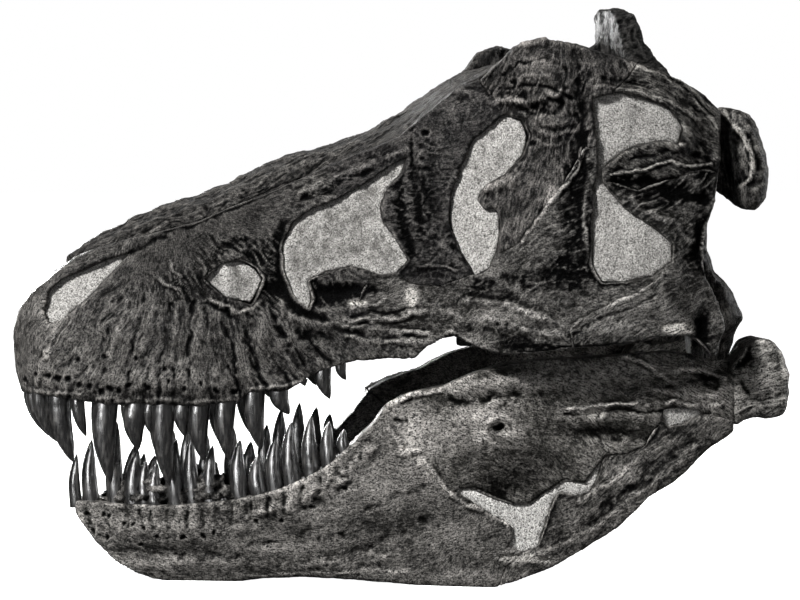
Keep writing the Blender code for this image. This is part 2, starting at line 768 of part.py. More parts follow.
def buildJaws():
    flat = flatPlate([jawOutline, jawGap, jawWindow])
    for name, shape in partedPlate(flat, jawSutures, jawBones).items():
        creased(shape)
        sideBent(shape, jawOuter, jawInner)
        mesh = toMesh(shape, name)
        if name == "dentary":
            row = []
            for s, width, length, lean in lowerTeeth:
                edge = alveolarEdge(s)
                middleOfWall = jawFace(s, edge) - jawWall / 2
                row.append(tooth(s, -middleOfWall, edge, width, length, lean, 1))
            mesh = withTeeth(mesh, row)
        pair(name, mesh, jawFinish[name])
    for name, outline in {"plaster_jaw": jawGap, "plaster_jaw_window": jawWindow}.items():
        shape = plateShape(outline, shrink=seam)
        creased(shape)
        sideBent(shape, lambda s, z: jawFace(s, z) - jawRecess, jawInner)
        pair(name, toMesh(shape, name), "plaster")


# Plates on the inner side of the lower jaw, set in from its outer face.
def innerJawPlate(outline, depth, thickness):
    shape = plateShape(outline)
    creased(shape)
    sideBent(shape, lambda s, z: jawFace(s, z) - depth,
             lambda s, z: jawFace(s, z) - depth - thickness)
    return toMesh(shape, "inner_jaw")


def buildInnerJaws():
    splenial = [(300, 40), (420, 34), (560, 30), (700, 24), (752, 60), (700, 150), (600, 150),
                (480, 110), (360, 84)]
    pair("splenial", innerJawPlate(splenial, jawWall + 4, 10), "dark_bone")
    prearticular = [(758, 44), (860, 24), (950, 44), (1060, 110), (1150, 190), (1232, 290, sharp),
                    (1232, 350, sharp), (1140, 290), (1040, 190), (940, 110), (860, 84), (770, 92)]
    pair("prearticular", innerJawPlate(prearticular, jawWall + 4, 16), "dark_bone")
    block = [(1240, 300, sharp), (1290, 306), (1345, 318), (1378, 334), (1408, 330), (1436, 338),
             (1440, 360), (rearEnd, 405), (1432, 442), (1418, 463), (1396, 469), (1374, 462),
             (1362, 440), (1347, 424), (1335, jointHeight - seam, sharp),
             (1260, jointHeight - seam, sharp),
             (1242, 400, sharp)]
    width = 118
    heelStart = 1343      # behind the jaw wall the block is as wide as the jaw
    shape = bmesh.new()
    shape.from_mesh(flatPlate([block]))
    creased(shape, extra=(heelStart - 0.5, heelStart + 1))
    sideBent(shape, lambda s, z: jawFace(s, z) - (jawWall + 5 if s < heelStart else 0),
             lambda s, z: jawFace(s, z) - width)
    pair("articular", toMesh(shape, "articular"), "dark_bone")


def main():
    for item in list(bpy.data.objects):
        bpy.data.objects.remove(item)
    bpy.context.scene.collection.children.link(skullCollection)
    makeGroups()
    buildCheeks()
    buildCheekPlaster()
    buildRoof()
    buildParietals()
    buildBraincase()
    buildQuadrates()
    buildCore()
    buildPalate()
    buildJaws()
    buildInnerJaws()


main()
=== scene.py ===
import math
import bmesh
import bpy
import numpy as np
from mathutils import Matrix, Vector


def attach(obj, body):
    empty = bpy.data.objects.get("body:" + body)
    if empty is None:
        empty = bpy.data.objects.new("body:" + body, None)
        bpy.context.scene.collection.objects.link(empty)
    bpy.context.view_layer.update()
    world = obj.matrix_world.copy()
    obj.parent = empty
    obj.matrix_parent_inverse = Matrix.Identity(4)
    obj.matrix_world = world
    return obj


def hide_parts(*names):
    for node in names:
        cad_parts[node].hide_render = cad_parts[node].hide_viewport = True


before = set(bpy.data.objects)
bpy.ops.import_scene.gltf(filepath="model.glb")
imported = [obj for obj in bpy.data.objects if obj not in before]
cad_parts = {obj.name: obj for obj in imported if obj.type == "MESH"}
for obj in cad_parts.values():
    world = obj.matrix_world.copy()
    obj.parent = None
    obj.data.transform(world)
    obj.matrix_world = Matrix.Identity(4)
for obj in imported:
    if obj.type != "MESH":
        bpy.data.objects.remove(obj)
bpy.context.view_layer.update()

middle = 721


# Numbers and noise

def linearColour(code):
    values = [int(code[at:at + 2], 16) / 255 for at in (1, 3, 5)]
    return [v / 12.92 if v <= 0.04045 else ((v + 0.055) / 1.055) ** 2.4 for v in values] + [1]


def cellValue(cell, seed):
    mask = 0xffffffff
    mixed = cell[:, 0] * 73856093 ^ cell[:, 1] * 19349663 ^ cell[:, 2] * 83492791 ^ seed * 40503
    mixed = (mixed ^ (mixed >> 13) & 0x7ffff) * 1274126177 & mask
    mixed = (mixed ^ mixed >> 15) * 2246822519 & mask
    return ((mixed ^ mixed >> 13) & 0xffffff) / 0xffffff


# Soft lumps of one size in mm, from -1 to 1
def lumps(places, size, seed):
    grid = places / size
    cell = np.floor(grid).astype(np.int64)
    part = grid - cell
    part = part ** 3 * (part * (part * 6 - 15) + 10)
    total = np.zeros(len(places))
    for corner in range(8):
        step = np.array([corner & 1, corner >> 1 & 1, corner >> 2 & 1])
        weight = np.prod(np.where(step, part, 1 - part), axis=1)
        total += weight * cellValue(cell + step, seed)
    return total * 2 - 1


def roughness(places, size, seed, octaves=4, gain=0.5):
    total, height = np.zeros(len(places)), 1.0
    for octave in range(octaves):
        total += height * lumps(places, size * 0.5 ** octave, seed + octave)
        height *= gain
    return total


# Thin raised lines with wide hollows between them, from 0 to 1
def wrinkles(places, size, seed):
    bent = places + 0.35 * size * np.stack([lumps(places, size * 1.7, seed + 5 + axis)
                                            for axis in range(3)], axis=1)
    return (1 - np.abs(lumps(bent, size, seed))) ** 3


# The same places measured across, into and along the bone's fibres, which fan out from a
# centre (s, z), or run round it as rings. Along them everything is drawn out by a ratio.
def fibrePlaces(places, centre, rings, ratio, seed):
    sway = [15 * lumps(places, 75, seed + 60 + axis) + 5 * lumps(places, 26, seed + 64 + axis)
            for axis in range(2)]
    ds, dz = places[:, 0] + sway[0] - centre[0], places[:, 2] + sway[1] - centre[1]
    reach = np.hypot(ds, dz)
    heading = math.atan2(dz.mean(), ds.mean())
    swing = (np.arctan2(dz, ds) - heading + math.pi) % (2 * math.pi) - math.pi
    swing = swing * reach.mean()
    across, along = (reach, swing) if rings else (swing, reach)
    return np.stack([across, places[:, 1], along / ratio], axis=1)


# Mesh numbers

def readPoints(mesh):
    flat = np.empty(len(mesh.vertices) * 3, np.float32)
    mesh.vertices.foreach_get("co", flat)
    return flat.reshape(-1, 3).astype(np.float64)


def writePoints(mesh, points):
    mesh.vertices.foreach_set("co", points.astype(np.float32).ravel())
    mesh.update()


def readNormals(mesh):
    flat = np.empty(len(mesh.vertices) * 3, np.float32)
    mesh.vertex_normals.foreach_get("vector", flat)
    return flat.reshape(-1, 3).astype(np.float64)


def readEdges(mesh):
    flat = np.empty(len(mesh.edges) * 2, np.int32)
    mesh.edges.foreach_get("vertices", flat)
    return flat.reshape(-1, 2)


def blurred(values, edges, rounds):
    count = len(values)
    here, there = edges[:, 0], edges[:, 1]
    ends = np.concatenate([here, there])
    near = np.bincount(ends, minlength=count).clip(1)
    for _ in range(rounds):
        columns = []
        for column in values.reshape(count, -1).T:
            weights = np.concatenate([column[there], column[here]])
            columns.append(np.bincount(ends, weights=weights, minlength=count) / near)
        mean = np.stack(columns, axis=1).reshape(values.shape)
        values = 0.4 * values + 0.6 * mean
    return values


# One number, or three, for each vertex
def writeValues(mesh, name, values):
    kind, key = ("FLOAT", "value") if values.ndim == 1 else ("FLOAT_VECTOR", "vector")
    mesh.attributes.new(name, kind, "POINT").data.foreach_set(
        key, values.astype(np.float32).ravel())


# Places (s, across, z) in mm
def placesOf(points):
    return points * 1000 + [middle, 0, 0]


def baseOf(nodeName):
    return nodeName.replace("_left", "").replace("_right", "")


def evaluatedMesh(item):
    bpy.context.view_layer.update()
    graph = bpy.context.evaluated_depsgraph_get()
    return bpy.data.meshes.new_from_object(item.evaluated_get(graph))


def makeObject(name, mesh):
    item = bpy.data.objects.new(name, mesh)
    bpy.context.scene.collection.objects.link(item)
    return item


def discard(item):
    mesh = item.data
    bpy.data.objects.remove(item)
    bpy.data.meshes.remove(mesh)


def meshFrom(shape, name):
    mesh = bpy.data.meshes.new(name)
    shape.to_mesh(mesh)
    shape.free()
    return mesh


# Makes what the modifiers give the object's own mesh, and takes the modifiers off
def settle(item):
    plain = item.data
    made = evaluatedMesh(item)
    item.modifiers.clear()
    item.data = made
    bpy.data.meshes.remove(plain)
    return made


# One node with its settings, and its inputs as values or as other nodes' outputs
def addNode(tree, kind, inputs=None, **settings):
    node = tree.nodes.new(kind)
    for name, value in settings.items():
        setattr(node, name, value)
    for name, value in (inputs or {}).items():
        if isinstance(value, bpy.types.NodeSocket):
            tree.links.new(value, node.inputs[name])
        else:
            node.inputs[name].default_value = value
    return node


# Materials

def newMaterial(name):
    material = bpy.data.materials.new(name)
    material.use_nodes = True
    return material, material.node_tree, material.node_tree.nodes["Principled BSDF"]


# Colours laid over one another, each by its share from 0 to 1
def layered(tree, ground, layers):
    colour = linearColour(ground)
    for share, over in layers:
        colour = addNode(tree, "ShaderNodeMix", {
            "Factor": share, 6: colour, 7: linearColour(over)}, data_type="RGBA").outputs[2]
    return colour


# Grains of about 3 mm, lighter and darker than their ground: round ones, and ones drawn out
# along the fibres
def speckled(tree, colour, place, fibres, strength=0.95):
    grain = addNode(tree, "ShaderNodeTexNoise", {
        "Vector": place, "Scale": 330, "Detail": 1, "Roughness": 0.6}).outputs["Fac"]
    dashes = addNode(tree, "ShaderNodeTexNoise", {
        "Vector": fibres, "Scale": 400, "Detail": 1, "Roughness": 0.6}).outputs["Fac"]
    grain = addNode(tree, "ShaderNodeMath", {0: grain, 1: dashes}, operation="ADD").outputs[0]
    grain = addNode(tree, "ShaderNodeMapRange", {
        "Value": grain, "From Min": 0.76, "From Max": 1.24, "To Min": 1 - strength,
        "To Max": 1 + strength}).outputs[0]
    return addNode(tree, "ShaderNodeMix", {"Factor": 1.0, 6: colour, 7: grain},
                   data_type="RGBA", blend_type="MULTIPLY").outputs[2]


# Mineralised bone: dense, darkened by iron and manganese, and varnished, with a broken, soft
# shine. Its deep colour is painted shade in the hollows; its rubbed colour is pale tone together
# with painted highlight on the ridges.
boneLooks = {
    "maxillaBone": {"deep": "#030303", "body": "#161514", "rubbed": "#74716d", "shine": 0.34},
    "roofBone": {"deep": "#030303", "body": "#11100f", "rubbed": "#66635f", "shine": 0.36},
    # a darker copy for the crest: painted shade for a wing that the key lamp lights too strongly
    "crestBone": {"deep": "#020202", "body": "#090908", "rubbed": "#3a3836", "shine": 0.46},
    "lacrimalBone": {"deep": "#020202", "body": "#0f0e0e", "rubbed": "#5f5c59", "shine": 0.34},
    "jugalBone": {"deep": "#020202", "body": "#171614", "rubbed": "#85827e", "shine": 0.34},
    "postorbitalBone": {"deep": "#020202", "body": "#141312", "rubbed": "#7a7672", "shine": 0.34},
    "squamosalBone": {"deep": "#020202", "body": "#141312", "rubbed": "#87847f", "shine": 0.34},
    "dentaryBone": {"deep": "#060605", "body": "#2a2927", "rubbed": "#a29e99", "shine": 0.38},
    "surangularBone": {"deep": "#060605", "body": "#2b2a27", "rubbed": "#a9a5a0", "shine": 0.38},
    "angularBone": {"deep": "#040404", "body": "#21201e", "rubbed": "#9f9b96", "shine": 0.36},
    # a lighter copy for the articular: painted light for a knob that lies out of the key lamp
    "articularBone": {"deep": "#060605", "body": "#4a4946", "rubbed": "#c4c0ba", "shine": 0.38},
    "innerBone": {"deep": "#040404", "body": "#0e0d0d", "rubbed": "#3a3836", "shine": 0.5},
}
fillerColour = "#9d9a95"   # small repairs in the bone


def fossilBone(name):
    look = boneLooks[name]
    material, tree, shader = newMaterial(name)
    shader.inputs["IOR"].default_value = 1.5
    shader.inputs["Specular IOR Level"].default_value = 0.22
    place = addNode(tree, "ShaderNodeTexCoord").outputs["Object"]
    fibres = addNode(tree, "ShaderNodeAttribute", attribute_name="fibres").outputs["Vector"]
    stain = addNode(tree, "ShaderNodeTexNoise", {   # blotches of about 50 mm
        "Vector": place, "Scale": 20, "Detail": 6, "Roughness": 0.62,
        "Distortion": 0.6}).outputs["Fac"]
    strand = addNode(tree, "ShaderNodeTexNoise", {  # strands about 6 mm apart
        "Vector": fibres, "Scale": 170, "Detail": 5, "Roughness": 0.7,
        "Distortion": 0.9}).outputs["Fac"]
    thread = addNode(tree, "ShaderNodeTexNoise", {  # threads about 3 mm apart
        "Vector": fibres, "Scale": 360, "Detail": 3, "Roughness": 0.6,
        "Distortion": 0.5}).outputs["Fac"]
    grit = addNode(tree, "ShaderNodeTexNoise", {    # grit of about 4 mm
        "Vector": place, "Scale": 260, "Detail": 5, "Roughness": 0.75}).outputs["Fac"]
    worn = addNode(tree, "ShaderNodeAttribute", attribute_name="worn").outputs["Fac"]
    hollow = addNode(tree, "ShaderNodeAttribute", attribute_name="hollow").outputs["Fac"]
    patch = addNode(tree, "ShaderNodeAttribute", attribute_name="patch").outputs["Fac"]
    # paler where blotches, strands and the painted highlights of the raised relief agree
    pale = worn
    for layer, share in ((stain, 1.0), (strand, 0.7), (thread, 0.45), (grit, 0.75)):
        pale = addNode(tree, "ShaderNodeMath", {0: layer, 1: share, 2: pale},
                       operation="MULTIPLY_ADD").outputs[0]
    highlightAndToneShare = addNode(tree, "ShaderNodeMapRange", {
        "Value": pale, "From Min": 1.28, "From Max": 2.4, "To Min": 0, "To Max": 1}).outputs[0]
    # crevice: darker where all of it is lowest, partly random dark tone and partly painted shade in
    # the low relief
    crevice = addNode(tree, "ShaderNodeMapRange", {
        "Value": pale, "From Min": 1.05, "From Max": 1.35, "To Min": 0.55,
        "To Max": 0}).outputs[0]
    hollow = addNode(tree, "ShaderNodeMath", {0: hollow, 1: crevice},
                     operation="MAXIMUM").outputs[0]
    # painted highlight mixed with pale tone lightens the body, and painted shade lays the deep
    # colour
    colour = layered(tree, look["body"], (
        (highlightAndToneShare, look["rubbed"]), (hollow, look["deep"]), (patch, fillerColour)))
    colour = speckled(tree, colour, place, fibres)
    tree.links.new(colour, shader.inputs["Base Color"])
    # the shine follows the pale tone and the painted highlights, and the painted shade takes it
    # away
    clean = addNode(tree, "ShaderNodeMath", {0: 1.0, 1: hollow}, operation="SUBTRACT").outputs[0]
    sheen = addNode(tree, "ShaderNodeMapRange", {
        "Value": highlightAndToneShare, "From Max": 0.7, "To Min": 0.3, "To Max": 1.0}).outputs[0]
    sheen = addNode(tree, "ShaderNodeMath", {0: sheen, 1: clean}, operation="MULTIPLY").outputs[0]
    tree.links.new(sheen, shader.inputs["Specular Tint"])
    gloss = addNode(tree, "ShaderNodeMapRange", {
        "Value": stain, "From Min": 0.3, "From Max": 0.7, "To Min": look["shine"] - 0.08,
        "To Max": look["shine"] + 0.14}).outputs[0]
    tree.links.new(gloss, shader.inputs["Roughness"])
    relief = addNode(tree, "ShaderNodeMath", {0: strand, 1: 1.6, 2: grit},
                     operation="MULTIPLY_ADD").outputs[0]
    relief = addNode(tree, "ShaderNodeMath", {0: thread, 1: 0.6, 2: relief},
                     operation="MULTIPLY_ADD").outputs[0]
    bump = addNode(tree, "ShaderNodeBump", {
        "Strength": 0.85, "Distance": 0.0024, "Height": relief}).outputs["Normal"]
    tree.links.new(bump, shader.inputs["Normal"])
    return material


# Gypsum plaster laid in with a stippling brush: matt, off-white, full of short dark pits, with
# painted shade in its hollows. The fillings of the jaw use a lighter copy of it, painted light for
# faces turned from the lamps.
plasterLooks = {
    "stippledPlaster": {"dull": "#7d7b78", "clean": "#aeaca8", "pit": "#4a4845", "dust": "#3a3835"},
    # a lighter copy of the same plaster: painted light for the fillings of the jaw, which face away
    # from the lamps
    "whitePlaster": {"dull": "#a6a4a0", "clean": "#d8d6d2", "pit": "#4a4845", "dust": "#3a3835"},
}


def stippledPlaster(name):
    look = plasterLooks[name]
    material, tree, shader = newMaterial(name)
    shader.inputs["Roughness"].default_value = 0.9
    shader.inputs["Specular IOR Level"].default_value = 0.3
    place = addNode(tree, "ShaderNodeTexCoord").outputs["Object"]
    dabs = addNode(tree, "ShaderNodeTexNoise", {    # dabs of about 7 mm, pitted finer
        "Vector": place, "Scale": 150, "Detail": 4, "Roughness": 0.62,
        "Distortion": 2.2}).outputs["Fac"]
    cloud = addNode(tree, "ShaderNodeTexNoise", {   # cleaner spots about 45 mm across
        "Vector": place, "Scale": 22, "Detail": 3}).outputs["Fac"]
    hollow = addNode(tree, "ShaderNodeAttribute", attribute_name="hollow").outputs["Fac"]
    pit = addNode(tree, "ShaderNodeMapRange", {
        "Value": dabs, "From Min": 0.38, "From Max": 0.5, "To Min": 1, "To Max": 0}).outputs[0]
    # the shade colour lays painted shade in the hollows
    colour = layered(tree, look["dull"], (
        (cloud, look["clean"]), (pit, look["pit"]), (hollow, look["dust"])))
    colour = speckled(tree, colour, place, place, 0.55)
    tree.links.new(colour, shader.inputs["Base Color"])
    bump = addNode(tree, "ShaderNodeBump", {
        "Strength": 0.9, "Distance": 0.0022, "Height": dabs}).outputs["Normal"]
    tree.links.new(bump, shader.inputs["Normal"])
    return material


# Fossil enamel and dentine: glassy, nearly black, with pale lengthways streaks and fine
# cracks across, and dull dentine below the enamel line.
enamelLook = {"body": "#0f0e0e", "streak": "#625f5b", "crack": "#050505", "dentine": "#0f0e0d",
              "coat": 0.6, "coatRoughness": 0.15}


def fossilEnamel():
    material, tree, shader = newMaterial("fossilEnamel")
    shader.inputs["IOR"].default_value = 1.62
    shader.inputs["Coat Weight"].default_value = enamelLook["coat"]
    shader.inputs["Coat Roughness"].default_value = enamelLook["coatRoughness"]
    place = addNode(tree, "ShaderNodeTexCoord").outputs["Object"]
    along = addNode(tree, "ShaderNodeAttribute", attribute_name="along").outputs["Fac"]
    longWays = addNode(tree, "ShaderNodeMapping", {
        "Vector": place, "Scale": (1, 1, 0.12)}).outputs["Vector"]
    crossWays = addNode(tree, "ShaderNodeMapping", {
        "Vector": place, "Scale": (0.2, 0.2, 1)}).outputs["Vector"]
    streaks = addNode(tree, "ShaderNodeTexNoise", {   # streaks about 4 mm apart
        "Vector": longWays, "Scale": 230, "Detail": 4, "Roughness": 0.6}).outputs["Fac"]
    cracks = addNode(tree, "ShaderNodeTexNoise", {    # cracks about 12 mm apart
        "Vector": crossWays, "Scale": 85, "Detail": 5, "Roughness": 0.7}).outputs["Fac"]
    pale = addNode(tree, "ShaderNodeMapRange", {
        "Value": streaks, "From Min": 0.5, "From Max": 0.78, "To Min": 0,
        "To Max": 0.8}).outputs[0]
    offLine = addNode(tree, "ShaderNodeMath", {0: cracks, 1: 0.5}, operation="SUBTRACT").outputs[0]
    offLine = addNode(tree, "ShaderNodeMath", {0: offLine}, operation="ABSOLUTE").outputs[0]
    crack = addNode(tree, "ShaderNodeMapRange", {
        "Value": offLine, "From Min": 0, "From Max": 0.02, "To Min": 0.75,
        "To Max": 0}).outputs[0]
    root = addNode(tree, "ShaderNodeMapRange", {
        "Value": along, "From Min": 0.1, "From Max": 0.24, "To Min": 0.85,
        "To Max": 0}).outputs[0]
    colour = layered(tree, enamelLook["body"], (
        (pale, enamelLook["streak"]), (crack, enamelLook["crack"]),
        (root, enamelLook["dentine"])))
    tree.links.new(colour, shader.inputs["Base Color"])
    gloss = addNode(tree, "ShaderNodeMapRange", {
        "Value": streaks, "From Min": 0.3, "From Max": 0.7, "To Min": 0.2,
        "To Max": 0.42}).outputs[0]
    tree.links.new(gloss, shader.inputs["Roughness"])
    bump = addNode(tree, "ShaderNodeBump", {
        "Strength": 0.7, "Distance": 0.0014, "Height": streaks}).outputs["Normal"]
    tree.links.new(bump, shader.inputs["Normal"])
    return material


# Surface relief of the bones

# Each line runs through places (s, z) and has a half-width and a height in mm; a line below
# zero is a groove. The last number is how much painted highlight it carries, or below zero how
# much painted shade. From 2 up, or from -2 down, a line runs unbroken, as the edges of plates do.
cheekLines = [
    # snout and maxilla
    ([(82, 494), (69, 456), (57, 418), (49, 385)], 6, 5, 0.6),
    ([(226, 637), (279, 659), (336, 682), (403, 709), (489, 751), (565, 789), (659, 835),
      (733, 869)], 6, -5, -1.1),
    ([(212, 648), (279, 676), (346, 706), (423, 736), (519, 786), (604, 820), (697, 864)],
     7, 3, 0.2),
    ([(526, 722), (602, 751), (676, 789)], 9, -6, -1.2),
    ([(545, 740), (621, 774), (695, 808), (746, 831)], 6, 5, 0.6),
    ([(263, 595), (287, 571), (312, 562)], 3, 3, 0.8),
    ([(297, 616), (303, 592), (320, 588)], 2.5, 3, 1.2),
    ([(334, 543), (337, 486), (329, 439)], 5, -5, -1.0),
    ([(350, 540), (354, 490), (347, 440)], 6, 3, 0.4),
    ([(362, 524), (375, 477), (382, 430)], 5, -5, -1.1),
    ([(296, 533), (286, 477), (273, 426)], 5, -4, -0.9),
    ([(312, 536), (305, 480), (296, 430)], 6, 3, 0.4),
    ([(394, 505), (413, 458), (420, 407)], 5, -5, -1.0),
    ([(249, 543), (233, 486), (216, 429)], 5, -4, -0.8),
    ([(266, 540), (254, 486), (240, 430)], 6, 3, 0.35),
    ([(202, 542), (179, 486), (160, 433)], 5, -4, -0.7),
    ([(220, 540), (200, 490), (182, 436)], 6, 3, 0.3),
    ([(364, 547), (394, 532), (428, 520), (458, 528), (478, 558)], 4, 4, 1.1),
    ([(366, 537), (396, 521), (430, 508), (462, 515)], 4, -4, -1.2),
    ([(369, 614), (402, 646), (436, 656)], 8, -6, -1.5),
    ([(445, 509), (439, 477), (450, 445), (469, 418)], 8, -9, -1.8),
    ([(494, 509), (505, 477), (516, 445)], 8, -8, -1.6),
    ([(514, 690), (499, 647), (500, 590), (512, 556), (541, 521), (582, 506)], 10, -7, -2.4),
    ([(526, 509), (597, 497), (652, 503)], 6, 4, 0.7),
    ([(20, 371), (87, 367), (163, 357), (257, 353), (352, 351), (427, 356), (450, 374),
      (540, 384), (596, 414)], 4, 3, 0.5),
    # lacrimal, with the thin plate in front of it and the gap between them
    ([(743, 769), (725, 752), (704, 718), (711, 686), (723, 658), (744, 633)], 6, 3, 0.9),
    ([(722, 776), (729, 752), (731, 720), (732, 695), (738, 664), (750, 634)], 11, -9, -3.6),
    ([(756, 847), (751, 814), (748, 780)], 5, -6, -1.8),
    ([(775, 847), (769, 794), (773, 731), (790, 687), (811, 640)], 14, 5, 0.1),
    ([(817, 681), (827, 653), (846, 618)], 7, -8, -1.8),
    ([(764, 609), (800, 614), (837, 599)], 2.6, 3, 1.2),
    # jugal
    ([(634, 527), (653, 533), (682, 531), (705, 545)], 3, 2, 1.3),
    ([(866, 580), (919, 588), (957, 578)], 13, -7, -1.8),
    ([(843, 548), (895, 543), (942, 533), (982, 518)], 7, 5, 0.8),
    ([(868, 515), (912, 509), (955, 488)], 6, 4, 0.6),
    ([(625, 495), (689, 488), (774, 484), (819, 491)], 5, 5, 0.9),
    ([(624, 476), (689, 467), (752, 465)], 4, 4, 0.8),
    ([(625, 508), (675, 505), (726, 511), (777, 527)], 4, 4, 0.7),
    ([(625, 485), (689, 477), (760, 474)], 3.5, -4, -1.5),
    ([(640, 515), (700, 519), (760, 531)], 4, -4, -1.2),
    ([(600, 510), (690, 511), (781, 531), (851, 514), (938, 494), (1008, 490)], 9, 3, 0.2),
    ([(1024, 496), (1068, 530), (1104, 546), (1150, 563), (1197, 598)], 3, 3, 0.8),
    ([(1036, 490), (1080, 520), (1130, 537), (1180, 560)], 4, -3, -0.8),
    ([(930, 468), (1000, 462), (1080, 466), (1160, 472)], 5, -4, -0.9),
    # postorbital and its boss
    ([(936, 1030), (1001, 1031), (1075, 1020)], 8, 5, 0.4),
    ([(841, 937), (890, 921), (960, 916), (1018, 936)], 9, 6, 0.4),
    ([(917, 968), (947, 992), (991, 1000), (1028, 977)], 4, -5, -1.4),
    ([(911, 940), (955, 949), (1000, 944), (1036, 925)], 4, -5, -1.4),
    ([(926, 954), (960, 968), (1000, 966)], 5, 2, 0.25),
    ([(897, 912), (920, 925), (946, 921), (968, 899)], 6, 5, 0.5),
    ([(990, 927), (1021, 914), (1010, 893), (984, 899)], 5, -7, -1.3),
    ([(975, 884), (1005, 872), (1042, 884)], 3.5, 1.5, 0.3),
    ([(972, 866), (1004, 852), (1044, 864)], 3.5, 1.5, 0.3),
    ([(970, 848), (1004, 833), (1044, 844)], 3.5, 1.5, 0.3),
    ([(973, 875), (1005, 862), (1043, 874)], 3, -1.5, -0.5),
    ([(1055, 828), (1045, 800), (1030, 771), (1012, 739), (981, 704), (959, 676), (945, 657)],
     2.8, 4, 2.4),
    ([(967, 828), (960, 808), (935, 776), (908, 763), (887, 757)], 9, 6, 0.35),
    ([(1047, 734), (1028, 671), (991, 589)], 16, -5, -1.1),
    ([(1069, 865), (1061, 791), (1055, 689), (1060, 607)], 5, 3, 0.5),
    # squamosal bar and flange
    ([(1131, 1011), (1188, 985), (1245, 959), (1302, 912)], 3.5, 3, 1.0),
    ([(1146, 988), (1206, 966), (1263, 934), (1312, 869)], 3.5, 3, 0.8),
    ([(1086, 947), (1149, 940), (1220, 916), (1281, 884)], 3.5, 3, 1.3),
    ([(1169, 1002), (1226, 977), (1284, 948)], 3, 3, 0.8),
    ([(1217, 888), (1259, 862), (1288, 824), (1312, 809)], 5, 4, 0.7),
    ([(1136, 1000), (1192, 976), (1250, 947), (1306, 893)], 3, -3, -1.3),
    ([(1100, 962), (1160, 952), (1230, 930), (1290, 896)], 5, -4, -1.3),
    ([(1093, 784), (1131, 821), (1188, 841), (1246, 836)], 5, 3, 0.4),
    ([(1108, 787), (1152, 813), (1209, 826), (1278, 819)], 6, -4, -1.4),
    ([(1108, 780), (1151, 789), (1192, 800), (1221, 808), (1250, 797), (1301, 800)], 3, 4, 2.3),
    ([(1122, 767), (1171, 773), (1242, 754), (1284, 735)], 12, -9, -2.2),
    ([(1144, 736), (1169, 721), (1217, 695), (1252, 662)], 8, 4, 0.6),
    # rim of the wing behind the braincase
    ([(1340, 899), (1368, 856), (1383, 807), (1382, 772), (1363, 759)], 3.5, 4, 2.0),
]
# Swellings and hollows: centre, reach along s and z, height, and tone as above: painted highlight
# above zero, painted shade below.
cheekSwellings = [
    ((140, 470), (70, 40), 5, 0.2), ((60, 520), (40, 40), 5, 0.2),
    ((330, 480), (60, 40), 5, 0.12), ((250, 500), (40, 60), 4, 0.1),
    ((800, 470), (90, 12), 4, 0.25), ((900, 520), (60, 18), 7, 0.3),
    ((700, 545), (60, 14), 3, 0.15), ((1160, 540), (60, 26), 7, 0.15),
    ((1100, 600), (40, 20), -6, -0.5), ((1190, 980), (60, 16), 5, 0.15),
    ((1000, 720), (22, 40), 5, 0.2), ((930, 840), (60, 30), -7, -0.5),
    ((978, 985), (48, 36), 9, 0.1), ((500, 600), (42, 60), -7, -0.4),
    ((370, 590), (30, 40), -4, -0.3), ((870, 438), (42, 24), 5, 0.75),
    ((978, 905), (30, 14), -6, -0.5), ((1055, 930), (20, 60), -6, -0.5),
    ((1040, 650), (40, 70), -4, -0.5), ((776, 730), (26, 100), 0, -1.1),
    ((1355, 820), (40, 90), 0, 0.3), ((640, 562), (60, 14), -4, -0.9),
    ((556, 548), (40, 48), -4, -1.1), ((330, 560), (34, 50), -3, -0.5),
    ((760, 600), (60, 18), -3, -0.5), ((1190, 760), (70, 30), 0, -0.5),
    ((830, 905), (30, 16), 5, 0.1), ((1010, 600), (60, 30), -5, -0.5),
    ((200, 520), (60, 50), 4, 0.06), ((458, 628), (30, 26), -5, -0.8),
    ((488, 560), (24, 34), -7, -1.0), ((469, 477), (14, 30), 4, 0.3),
    ((560, 478), (44, 14), -5, -0.8), ((604, 556), (60, 22), -7, -1.6),
    ((1215, 742), (64, 24), -7, -0.9), ((1100, 520), (110, 24), 0, 0.16),
    ((300, 650), (120, 46), 0, -0.16), ((400, 655), (90, 34), -2, -0.3),
    ((1042, 780), (28, 120), -6, -0.95), ((1035, 590), (60, 44), -6, -0.5),
    ((1277, 660), (22, 50), -7, -1.4), ((1290, 800), (22, 70), -5, -0.6),
    ((760, 720), (12, 70), -3, -0.4), ((880, 560), (60, 22), -6, -0.5),
    ((560, 440), (50, 20), -3, -0.2), ((1010, 455), (100, 14), -3, -0.7),
    ((1250, 640), (30, 60), -4, -0.5), ((905, 960), (26, 40), -4, -0.3),
    ((1006, 745), (15, 26), 4, 0.6), ((1060, 828), (10, 44), -5, -0.9),
    ((230, 396), (190, 20), 3, 0.3), ((60, 440), (24, 60), 3, 0.15),
    ((20, 470), (16, 50), 2, 0.18), ((1271, 496), (17, 36), -9, -1.8),
    ((1324, 510), (20, 26), 5, 0.3), ((1347, 800), (13, 50), -4, -0.8),
    ((930, 470), (36, 20), -4, -0.8), ((1110, 500), (50, 12), 3, 0.25),
]
# Small holes for nerves and blood vessels, as (s, z, radius, depth)
cheekHoles = [
    (24, 387, 5, 5), (68, 399, 5, 4), (84, 394, 6, 5), (103, 394, 5, 4), (127, 379, 5, 4),
    (144, 376, 5, 4), (165, 369, 5, 4), (180, 372, 5, 4), (195, 372, 5, 4), (255, 376, 5, 4),
    (320, 376, 5, 4), (384, 373, 5, 4), (412, 373, 5, 4), (779, 858, 7, 8), (754, 869, 6, 6),
    (120, 430, 4, 4), (172, 440, 4, 4), (230, 432, 4, 4), (286, 410, 4, 4), (934, 955, 6, 6),
    (215, 384, 4, 4), (290, 388, 4, 4), (352, 384, 4, 4), (46, 402, 4, 4),
]
cheekPatches = [((747, 549), (12, 18)), ((647, 536), (20, 5)), ((1226, 502), (34, 11)),
                ((787, 861), (3, 4))]

